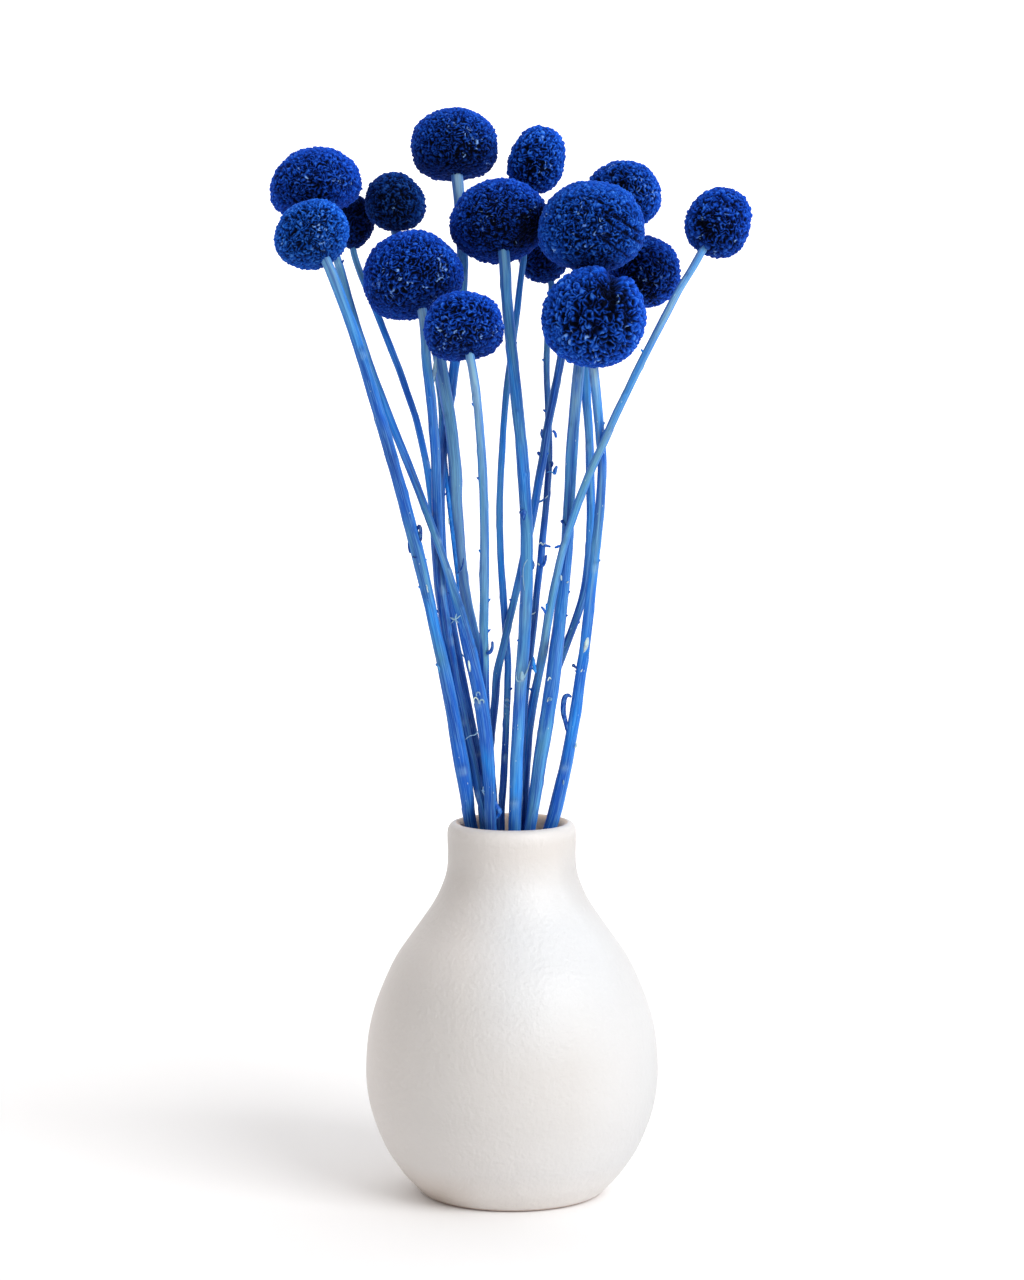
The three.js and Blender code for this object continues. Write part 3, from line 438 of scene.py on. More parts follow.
# the painted shade on the belly and the painted highlight after it lie on the front half and fade out towards the back
front_half = ramp(nt, math_node(nt, "MULTIPLY_ADD", cx.outputs[1], -25.0, 0.5, clamp=True), [(0.25, (0, 0, 0)), (0.65, (1, 1, 1))])
# painted shade: a greyer band over the belly, fading out at the far left and the far right
belly_shade = ramp(nt, math_node(nt, "MULTIPLY", cx.outputs[2], 8.333), [(0.06, (0, 0, 0)), (0.14, (0.23, 0.23, 0.23)), (0.19, (0.36, 0.36, 0.36)), (0.26, (0.66, 0.66, 0.66)), (0.42, (0.80, 0.80, 0.80)), (0.50, (0.78, 0.78, 0.78)), (0.56, (0.76, 0.76, 0.76)), (0.62, (0.40, 0.40, 0.40)), (0.69, (0, 0, 0))])
belly_shade = math_node(nt, "MULTIPLY", belly_shade, ramp(nt, side, [(0.0, (0, 0, 0)), (0.10, (0.2, 0.2, 0.2)), (0.2, (0.7, 0.7, 0.7)), (0.28, (1, 1, 1)), (0.70, (1, 1, 1)), (0.82, (0.35, 0.35, 0.35)), (0.95, (0, 0, 0))]))
col = mix(nt, math_node(nt, "MULTIPLY", belly_shade, front_half), col, srgb("#c3c0bd"))
# painted highlight: a cooler, bluish white on the upper right of the belly, where the lamp's broad sheen falls
cool_highlight = ramp(nt, math_node(nt, "MULTIPLY", cx.outputs[2], 8.333), [(0.40, (0, 0, 0)), (0.60, (0.8, 0.8, 0.8)), (0.74, (1, 1, 1)), (0.84, (0.7, 0.7, 0.7)), (0.93, (0, 0, 0))])
cool_highlight = math_node(nt, "MULTIPLY", cool_highlight, ramp(nt, side, [(0.34, (0, 0, 0)), (0.50, (0.9, 0.9, 0.9)), (0.62, (1, 1, 1)), (0.82, (0.9, 0.9, 0.9)), (0.98, (0.2, 0.2, 0.2))]))
col = mix(nt, math_node(nt, "MULTIPLY", math_node(nt, "MULTIPLY", cool_highlight, front_half), 0.8), col, srgb("#d0d4d8"))
# painted shade: the shoulder is painted greyer where it faces right
nx = node(nt, "ShaderNodeSeparateXYZ")
nt.links.new(node(nt, "ShaderNodeTexCoord").outputs["Normal"], nx.inputs[0])
right_edge_shade = ramp(nt, nx.outputs[0], [(0.66, (0, 0, 0)), (0.80, (0.55, 0.55, 0.55)), (0.95, (1, 1, 1))])
right_edge_shade = math_node(nt, "MULTIPLY", right_edge_shade, ramp(nt, math_node(nt, "MULTIPLY", cx.outputs[2], 8.333), [(0.50, (0, 0, 0)), (0.66, (0.45, 0.45, 0.45)), (0.76, (0.8, 0.8, 0.8)), (0.88, (0.8, 0.8, 0.8)), (0.96, (0.2, 0.2, 0.2))]))
col = mix(nt, right_edge_shade, col, srgb("#b3b1b1"))
# painted light: the lowest 14 mm are painted lighter and warmer, standing in for light thrown up from the floor
low = math_node(nt, "MULTIPLY_ADD", cx.outputs[2], -70.0, 1.0, clamp=True)
col = mix(nt, math_node(nt, "MULTIPLY", low, 0.7), col, srgb("#e4dcd5"))
# painted shade: browner and darker low down on the left of the foot
col = mix(nt, math_node(nt, "MULTIPLY", low, ramp(nt, side, [(0.12, (0.5, 0.5, 0.5)), (0.26, (0.9, 0.9, 0.9)), (0.40, (0, 0, 0))])), col, srgb("#b5a394"))
col = mix(nt, math_node(nt, "MULTIPLY", cloud, 0.35), col, srgb("#d4d2d0"))
# a brownish tint on the lowest millimetre of the foot, where it meets the floor
ring = math_node(nt, "MULTIPLY_ADD", cx.outputs[2], -950.0, 1.15, clamp=True)
col = mix(nt, math_node(nt, "MULTIPLY", ring, 0.8), col, srgb("#a5806a"))
# inside the mouth: a warmer, darker beige, part the clay's own tint and part painted shade
inside = attr(nt, "inside").outputs["Fac"]
col = mix(nt, ramp(nt, inside, [(0.0, (0, 0, 0)), (0.22, (1, 1, 1))]), col, srgb("#cdb49b"))
nt.links.new(col, b.inputs["Base Color"])
b.inputs["Roughness"].default_value = 0.53
b.inputs["Specular IOR Level"].default_value = 0.72
peel = math_node(nt, "ADD", noise(nt, co, 650, 2, 0.5), math_node(nt, "MULTIPLY", noise(nt, co, 160, 3), 0.9))
bump(nt, b, peel, 0.85, 0.00027)

# dyed stalk: the dye lies in the "dye" colours of the mesh; fine streaks and flecks come from noise drawn out
# along the stalk
stalk, nt, b = new_mat("dyed_stalk")
dye = attr(nt, "dye").outputs["Color"]
sv = attr(nt, "along").outputs["Vector"]
long_ = node(nt, "ShaderNodeVectorMath", operation="MULTIPLY")
long_.inputs[1].default_value = (1.0, 1.0, 0.42)
nt.links.new(sv, long_.inputs[0])
streak = noise(nt, long_.outputs[0], 1.9, 2, 0.5)
streak2 = noise(nt, long_.outputs[0], 3.9, 2, 0.45)
col = mix(nt, math_node(nt, "MULTIPLY", ramp(nt, streak, [(0.45, (0, 0, 0)), (0.55, (1, 1, 1))]), 0.66), dye,
          mix(nt, 0.55, dye, srgb("#0a3c96")))
col = mix(nt, math_node(nt, "MULTIPLY", ramp(nt, streak2, [(0.50, (0, 0, 0)), (0.60, (1, 1, 1))]), 0.50), col,
          mix(nt, 0.5, dye, srgb("#70b2e0")))
fleck = node(nt, "ShaderNodeTexVoronoi", in_Scale=0.9)
fleck.inputs["Randomness"].default_value = 1.0
flv = node(nt, "ShaderNodeVectorMath", operation="MULTIPLY")
flv.inputs[1].default_value = (0.9, 0.9, 5.2)
nt.links.new(sv, flv.inputs[0])
nt.links.new(flv.outputs[0], fleck.inputs["Vector"])
flm = ramp(nt, fleck.outputs["Distance"], [(0.055, (1, 1, 1)), (0.10, (0, 0, 0))])
flc = node(nt, "ShaderNodeSeparateColor")
nt.links.new(fleck.outputs["Color"], flc.inputs[0])
few = ramp(nt, flc.outputs[0], [(0.72, (0, 0, 0)), (0.76, (1, 1, 1))])
col = mix(nt, math_node(nt, "MULTIPLY", math_node(nt, "MULTIPLY", flm, few), 0.75), col, srgb("#b9d3c9"))
nt.links.new(col, b.inputs["Base Color"])
b.inputs["Roughness"].default_value = 0.5
b.inputs["Specular IOR Level"].default_value = 0.22
b.inputs["Sheen Weight"].default_value = 0.18
b.inputs["Sheen Roughness"].default_value = 0.4
b.inputs["Sheen Tint"].default_value = (*srgb("#2a80ee"), 1)
bump(nt, b, math_node(nt, "ADD", streak, math_node(nt, "MULTIPLY", streak2, 0.5)), 0.5, 0.00016)

# florets: near black in the gaps (painted shade in the recesses), deep royal blue on the curled petals, dusty pale
# tips in patches; the 'tone' attribute scales the colour and carries painted light and shade
floret, nt, b = new_mat("dyed_florets")
tip = attr(nt, "tip").outputs["Fac"]
tone = attr(nt, "tone").outputs["Fac"]
azure = attr(nt, "azure").outputs["Fac"]
pale = attr(nt, "pale").outputs["Fac"]
co = node(nt, "ShaderNodeTexCoord").outputs["Object"]
grain = noise(nt, co, 2600, 3, 0.6)
t2 = math_node(nt, "ADD", tip, math_node(nt, "MULTIPLY", math_node(nt, "SUBTRACT", grain, 0.5), 0.14), clamp=True)
col = ramp(nt, t2, [(0.0, "#00020b"), (0.18, "#010a2e"), (0.39, "#052470"), (0.62, "#0c3eac"), (0.85, "#1850c8"), (1.0, "#3472e0")])
col2 = ramp(nt, t2, [(0.0, "#00040f"), (0.18, "#01143c"), (0.39, "#063684"), (0.62, "#0f56c0"), (0.85, "#2670d6"), (1.0, "#5094ea")])
col = mix(nt, azure, col, col2)
vm = node(nt, "ShaderNodeVectorMath", operation="SCALE")
nt.links.new(col, vm.inputs[0])
nt.links.new(tone, vm.inputs["Scale"])
col = mix(nt, pale, vm.outputs[0], srgb("#8fbcf0"))
nt.links.new(col, b.inputs["Base Color"])
b.inputs["Roughness"].default_value = 0.75
b.inputs["Specular IOR Level"].default_value = 0.03
b.inputs["Sheen Weight"].default_value = 0.7
b.inputs["Sheen Roughness"].default_value = 0.38
b.inputs["Sheen Tint"].default_value = (*srgb("#4a70e8"), 1)
bump(nt, b, grain, 0.35, 0.00008)


# ------------------------------------------------------------------ vase
def make_vase():
    P = np.array(VASE_OUT, float)
    # keep the foot and the inside floor flat: smooth only between them
    a, z = 3, len(P) - 3
    mid, _ = centre_line(np.column_stack([P[a:z], np.zeros(z - a)]), 4)
    prof = np.vstack([P[1:a], mid[:, :2], P[z:-1]])
    sides = 144
    th = np.arange(sides) / sides * 2 * np.pi
    n = len(prof)
    s = np.r_[0, np.cumsum(np.linalg.norm(np.diff(prof, axis=0), axis=1))]
    wob = np.zeros((n, sides))
    rng = np.random.default_rng(11)
    for k in (2, 3, 5):
        wob += rng.uniform(0.03, 0.07) * np.cos(k * th[None] + rng.uniform(0, 6.3) + s[:, None] * rng.uniform(-.02, .02))
    wob *= np.clip(prof[:, 1:2] / 12, 0, 1)
    r = prof[:, :1] + wob
    v = np.stack([r * np.cos(th), r * np.sin(th), np.repeat(prof[:, 1:2], sides, 1)], -1).reshape(-1, 3)
    i = np.arange(n - 1)[:, None] * sides
    j = np.arange(sides)[None]
    jn = (j + 1) % sides
    q = np.stack([i + j, i + jn, i + sides + jn, i + sides + j], -1).reshape(-1, 4)
    tri = np.vstack([q[:, [0, 1, 2]], q[:, [0, 2, 3]]])
    c0, c1 = len(v), len(v) + 1
    v = np.vstack([v, [[0, 0, 0], [0, 0, 5]]])
    j = np.arange(sides)
    tri = np.vstack([tri, np.stack([np.full(sides, c0), (j + 1) % sides, j], 1),
                     np.stack([np.full(sides, c1), (n - 1) * sides + j, (n - 1) * sides + (j + 1) % sides], 1)])
    ob = link("ceramic_vase", v, tri)
    rim = np.argmin(np.abs(prof[:, 1] - 120) + (prof[:, 0] > 19) * 9)
    ins = np.clip((np.arange(n) - rim) / 8.0, 0, 1)
    put(ob.data, "inside", "FLOAT", np.r_[np.repeat(ins, sides), 0, 1])
    ob.data.materials.append(ceramic)
    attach(ob, "root")
    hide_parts("vase")


make_vase()

# ------------------------------------------------------------------ stems
INK = {"navy": "#0a2c70", "deep": "#0c4298", "royal": "#1259c0", "violet": "#2453b8", "azure": "#1f7cd8", "sky": "#4a98d0",
       "teal": "#4184aa", "pale": "#6a9fbc", "aqua": "#5a98b2", "mist": "#8ab4c6", "cream": "#d4dfd6"}
INK = {k: srgb(v) * ((0.40, 1.03, 1.0) if k in ("navy", "deep", "royal", "violet", "azure") else (1.0, 0.93, 0.95)) for k, v in INK.items()}
INK = {k: v * ((0.92, 0.92, 0.92) if k != "cream" else (0.90, 1.06, 1.0)) for k, v in INK.items()}
# dye along each stalk: (height above the foot in mm, ink)
DYE = {
    1: [(315, "pale"), (292, "aqua"), (270, "sky"), (252, "azure"), (232, "royal"), (216, "teal"), (204, "pale"), (192, "teal"),
        (182, "royal"), (170, "violet"), (160, "royal"), (148, "violet"), (138, "azure"), (128, "royal"), (119, "deep")],
    2: [(300, "pale"), (290, "sky"), (272, "azure"), (255, "royal"), (236, "deep"), (222, "royal"), (210, "teal"), (200, "aqua"),
        (188, "azure"), (176, "teal"), (164, "royal"), (140, "royal"), (122, "royal")],
    3: [(306, "teal"), (296, "aqua"), (286, "azure"), (255, "royal"), (225, "azure"), (200, "royal"), (160, "deep"), (120, "deep")],
    4: [(310, "teal"), (270, "pale"), (250, "aqua"), (225, "pale"), (205, "mist"), (190, "pale"), (176, "teal"), (160, "deep"), (120, "deep")],
    5: [(325, "mist"), (312, "pale"), (296, "sky"), (284, "teal"), (268, "azure"), (250, "deep"), (225, "navy"), (200, "royal"),
        (180, "deep"), (160, "royal"), (140, "deep"), (120, "royal")],
    6: [(322, "azure"), (300, "sky"), (285, "azure"), (262, "teal"), (240, "azure"), (220, "sky"), (200, "azure"), (182, "royal"),
        (165, "azure"), (155, "teal"), (145, "deep"), (120, "deep")],
    7: [(285, "mist"), (276, "pale"), (264, "sky"), (255, "royal"), (240, "violet"), (228, "deep"), (208, "royal"), (185, "deep"),
        (165, "royal"), (145, "navy"), (120, "deep")],
    8: [(272, "pale"), (258, "mist"), (240, "pale"), (222, "aqua"), (206, "pale"), (190, "teal"), (178, "aqua"), (172, "deep"),
        (150, "navy"), (120, "deep")],
    9: [(300, "pale"), (290, "sky"), (276, "teal"), (262, "azure"), (246, "teal"), (232, "azure"), (216, "teal"), (200, "sky"),
        (188, "pale"), (178, "sky"), (168, "pale"), (160, "violet"), (148, "sky"), (134, "azure"), (120, "royal")],
    10: [(298, "pale"), (270, "mist"), (256, "pale"), (240, "sky"), (222, "teal"), (206, "royal"), (190, "azure"), (178, "violet"),
         (162, "royal"), (150, "teal"), (136, "deep"), (128, "teal"), (119, "deep")],
    11: [(316, "navy"), (285, "violet"), (262, "navy"), (240, "navy"), (215, "deep"), (202, "sky"), (184, "teal"), (170, "sky"),
         (158, "deep"), (120, "navy")],
    12: [(272, "pale"), (264, "mist"), (254, "sky"), (242, "royal"), (226, "deep"), (212, "teal"), (200, "azure"), (186, "royal"),
         (176, "azure"), (166, "royal"), (150, "azure"), (134, "royal"), (120, "royal")],
    13: [(292, "azure"), (272, "sky"), (258, "azure"), (240, "royal"), (215, "azure"), (196, "deep"), (180, "navy"), (160, "deep"), (120, "deep")],
    14: [(304, "pale"), (290, "mist"), (275, "pale"), (262, "aqua"), (248, "pale"), (232, "aqua"), (218, "sky"), (204, "pale"),
         (190, "teal"), (178, "pale"), (168, "aqua"), (158, "royal"), (145, "deep"), (120, "deep")],
    15: [(292, "teal"), (278, "sky"), (268, "aqua"), (258, "deep"), (244, "navy"), (220, "navy"), (205, "royal"), (190, "navy"),
         (170, "deep"), (140, "navy"), (120, "navy")],
}


# how much of the purer dye, with painted light on the right, the flanks keep, against the usual
FLANK = {15: 0.45, 11: 0.6, 13: 0.8}


class Stem:
    def __init__(self, k):
        P = np.array(STEMS[k], float)
        centre, axis, ra, hb, _, base = HEADS[k]
        ax = np.array(axis) / np.linalg.norm(axis)
        P[-1, :3] = np.array(centre) - ax * (hb * base - 1.0 + 0.55 + 1.05)
        # the visible stalk runs on into its head
        top = np.r_[np.array(centre) - ax * (hb * base - 3.4), P[-1, 3]]
        P = np.vstack([P, top])
        c, u = centre_line(P[:, :3])
        s = np.r_[0, np.cumsum(np.linalg.norm(np.diff(c, axis=0), axis=1))]
        self.n = int(s[-1] / 1.25)
        t = np.linspace(0, s[-1], self.n)
        self.s = t
        self.c = np.stack([np.interp(t, s, c[:, i]) for i in range(3)], 1)
        self.r = np.interp(np.interp(t, s, u), np.arange(len(P)), P[:, 3])
        self.k = k

    def at(self, z):
        i = int(np.argmin(np.abs(self.c[:, 2] - z)))
        return self.c[i], self.r[i]


def stem_mesh(st):
    k, n, c, s = st.k, st.n, st.c, st.s
    sides = 20
    rng = np.random.default_rng(100 + k)
    th = np.arange(sides) / sides * 2 * np.pi
    # drifting axis, uneven thickness, ribs
    t_, a_, b_ = frames(c)
    c = c + 0.10 * (smooth_noise(s, 200 + k, 9.0)[:, None] * a_ + smooth_noise(s, 300 + k, 11.0)[:, None] * b_)
    r = st.r * (1 + 0.035 * smooth_noise(s, 400 + k, 7.0) + 0.025 * smooth_noise(s, 500 + k, 3.0))
    R = np.repeat(r[:, None], sides, 1)
    ribs = rng.integers(6, 9)
    tw = np.cumsum(np.full(n, 1.25)) * rng.uniform(-0.006, 0.006)
    R *= 1 + 0.028 * np.cos(ribs * (th[None] + tw[:, None]) + rng.uniform(0, 6)) \
        + 0.03 * np.cos(2 * th[None] + smooth_noise(s, 600 + k, 30.0)[:, None] * 3) \
        + 0.018 * np.cos(3 * th[None] + smooth_noise(s, 700 + k, 18.0)[:, None] * 4)
    dye = np.zeros((n, sides, 3))
    zz = np.array([d[0] for d in DYE[k]][::-1], float)
    cc = np.array([INK[d[1]] for d in DYE[k]][::-1])
    # the dye's edges run up and down a little round the stalk
    for j in range(sides):
        z = c[:, 2] + 5.0 * smooth_noise(s, 800 + k * 20 + j // 3, 16.0) + 3.0 * math.cos(th[j] * 2 + k)
        dye[:, j] = np.stack([np.interp(z, zz, cc[:, i]) for i in range(3)], 1)
    # the flanks keep the purer dye with painted light on it: bright azure to the right, where the lamp falls, and
    # royal blue to the left
    slow = np.stack([smooth_noise(s, 870 + k * 3 + (1 if math.cos(t0) > 0 else 0), 19.0) for t0 in th], 1)
    flank = np.abs(np.cos(th))[None] ** 3.0 * (0.92 + 0.30 * slow)
    flank = np.clip(flank * FLANK.get(k, 1.0), 0, 0.95)[..., None]
    side_ink_and_light = np.where((np.cos(th) > 0)[:, None], srgb("#3484e0"), srgb("#226ccc"))[None]
    side_ink_and_light = side_ink_and_light * (0.72 + 0.28 * np.clip(dye.mean(2, keepdims=True) / 0.28, 0.4, 1.25))
    flank_w = flank
    # long streaks of other inks up the stalk
    for q in range(9):
        j0, wid = rng.uniform(0, sides), rng.uniform(0.75, 1.7)
        on = np.clip(smooth_noise(s, 900 + k * 11 + q, 22.0) * 2.2 + 0.15, 0, 1)
        d = np.abs(((np.arange(sides)[None] - j0 + 1.3 * smooth_noise(s, 950 + k * 7 + q, 34.0)[:, None]) + sides / 2) % sides - sides / 2)
        m = np.exp(-(d / wid) ** 2) * on[:, None] * rng.uniform(0.5, 0.95)
        ink = INK[["azure", "deep", "pale", "deep", "teal", "royal", "sky", "navy", "deep"][q]]
        dye = dye * (1 - m[..., None]) + ink * m[..., None]
    dye = dye * (1 - flank_w) + side_ink_and_light * flank_w
    # leaf scars: a small swelling, a paler lip over a dark line
    zs = 12.0
    while zs < s[-1] - 12:
        zs += rng.uniform(9, 24)
        j0, a = rng.uniform(0, 2 * np.pi), rng.uniform(0.5, 1.0)
        dth = np.abs((th - j0 + np.pi) % (2 * np.pi) - np.pi)
        side = np.exp(-(dth / 0.75) ** 2)
        lip = np.exp(-((s - zs) / 1.1) ** 2)[:, None] * side[None]
        R += lip * 0.22 * a
        dark = np.exp(-((s - zs - 1.9) / 0.8) ** 2)[:, None] * side[None] * 0.7 * a
        R -= dark * 0.08
        if rng.random() < 0.6:
            m = lip * rng.uniform(0.25, 0.6)
            dye = dye * (1 - m[..., None]) + INK["mist"] * m[..., None]
        dye = dye * (1 - 0.75 * dark[..., None]) + INK["navy"] * 0.6 * 0.75 * dark[..., None]
    v, f = tube(c, R, sides)
    col = np.vstack([dye.reshape(-1, 3), dye[0].mean(0), dye[-1].mean(0)])
    j = np.arange(sides)
    along = np.stack([np.repeat(np.cos(th)[None], n, 0) * R, np.repeat(np.sin(th)[None], n, 0) * R,
                      np.repeat((s * 0.055)[:, None], sides, 1)], -1).reshape(-1, 3)
    along = np.vstack([along, [0, 0, s[0] * 0.055], [0, 0, s[-1] * 0.055]]) + k * 17.3
    return v, f, col, along


def spur(base, direction, length, r0, bend=(0, 0, 0), rings=8, sides=7, tip=0.35, ink="royal", knob=0.0):
    """A small tapered twig, bud or hook that leaves the stalk."""
    t = np.linspace(0, 1, rings)[:, None]
    d = np.array(direction, float)
    d /= np.linalg.norm(d)
    c = np.array(base) + d * length * t + np.array(bend, float) * t ** 2
    r = r0 * (1 - (1 - tip) * t[:, 0]) * np.sqrt(np.clip(1.03 - t[:, 0] ** 6, 0.05, 1))
    if knob:
        r = r + knob * np.exp(-((t[:, 0] - 0.86) / 0.14) ** 2)
    v, f = tube(c, r, sides)
    ink = INK[ink] if isinstance(ink, str) else ink
    return v, f, np.tile(ink, (len(v), 1)), v * 0.4


def blade(pts, widths, thick, face, ink="pale"):
    """A thin closed strip of leaf or peeled skin along pts, as wide as widths, its face turned to face."""
    P, _ = centre_line(np.array(pts, float), 6)
    w = np.interp(np.linspace(0, 1, len(P)), np.linspace(0, 1, len(widths)), widths)
    t = np.gradient(P, axis=0)
    t /= np.linalg.norm(t, axis=1)[:, None]
    face = np.array(face, float)
    side = np.cross(t, face)
    side /= np.linalg.norm(side, axis=1)[:, None]
    nrm = np.cross(side, t)
    n = len(P)
    sec = [(-1, 0), (-0.5, 0.7), (0.5, 0.7), (1, 0), (0.5, -0.5), (-0.5, -0.5)]
    v = np.stack([P + side * (w * x / 2)[:, None] + nrm * (thick * y + 0.12 * w * (1 - x * x))[:, None] for x, y in sec], 1)
    m = len(sec)
    i = np.arange(n - 1)[:, None] * m
    j = np.arange(m)[None]
    jn = (j + 1) % m
    q = np.stack([i + j, i + jn, i + m + jn, i + m + j], -1).reshape(-1, 4)
    v = v.reshape(-1, 3)
    lo, hi = len(v), len(v) + 1
    v = np.vstack([v, P[:1], P[-1:]])
    j = np.arange(m)
    f = np.vstack([q[:, [0, 1, 2]], q[:, [0, 2, 3]], np.stack([np.full(m, lo), (j + 1) % m, j], 1),
                   np.stack([np.full(m, hi), (n - 1) * m + j, (n - 1) * m + (j + 1) % m], 1)])
    ink = INK[ink] if isinstance(ink, str) else ink
    return v, f, np.tile(ink, (len(v), 1)), v * 0.4


def height_of(row, depth=0.0):
    """Height in mm of a frame row at a depth behind the vase's axis."""
    d = fwd + (H_PX / 2 - row) / FOCAL_PX * up
    return CAM[2] + d[2] * (depth - CAM[1]) / d[1]


# what is left of the leaves: (stem, frame row, side -1 left 1 right 0 front, kind, size mm)
REMNANTS = [
    (8, 632, 1, "nub", 1.1), (8, 601, 1, "nub", 1.2), (8, 405, -1, "nub", 0.9), (8, 478, -1, "nub", 0.9),
    (8, 552, -1, "nub", 0.8), (12, 667, -1, "bud", 1.7), (12, 783, 0, "tag", 1.8),
    (12, 425, 1, "nub", 0.7), (12, 560, 1, "nub", 0.7), (2, 563, 1, "nub", 0.9), (2, 587, -1, "nub", 0.9),
    (2, 666, -1, "node", 1.4), (2, 455, -1, "nub", 0.6), (1, 692, 0, "curl", 2.4), (1, 702, 0, "curl", 2.8),
    (1, 592, -1, "nub", 1.0), (1, 732, -1, "thread", 5.0), (1, 806, 1, "shield", 4.0), (1, 790, -1, "tag", 3.0), (1, 619, -1, "cross", 4.0),
    (1, 264, 1, "nub", 1.4), (5, 431, 1, "nub", 0.9), (5, 495, 1, "nub", 0.9), (5, 571, 1, "nub", 0.8), (5, 655, 1, "thread", 4.0),
    (7, 378, 1, "sheath", 7.0), (7, 470, -1, "nub", 0.7), (14, 668, -1, "twig", 4.2), (14, 690, -1, "nub", 1.0),
    (14, 352, -1, "nub", 1.1), (14, 430, 1, "nub", 0.6), (10, 550, -1, "nub", 1.0), (10, 592, 1, "nub", 1.0),
    (10, 614, 1, "nub", 0.9), (10, 700, 0, "scar", 1.6), (10, 740, 1, "nub", 0.7), (15, 410, -1, "nub", 1.1), (15, 452, -1, "nub", 1.1),
    (15, 360, -1, "nub", 0.8), (9, 640, -1, "nub", 0.8), (9, 676, 0, "peel", 6.0), (6, 346, 1, "nub", 0.9),
    (6, 704, 0, "scar", 2.0), (6, 690, 1, "nub", 0.9), (4, 640, 0, "nub", 0.8), (4, 676, 1, "nub", 0.8), (3, 610, -1, "nub", 0.7),
    (13, 378, 1, "nub", 1.2), (13, 624, 1, "nub", 0.9), (11, 520, -1, "nub", 0.7), (11, 600, -1, "nub", 0.7), (11, 455, 1, "nub", 0.7),
    (7, 700, -1, "nub", 0.8), (3, 720, -1, "nub", 0.7),
]


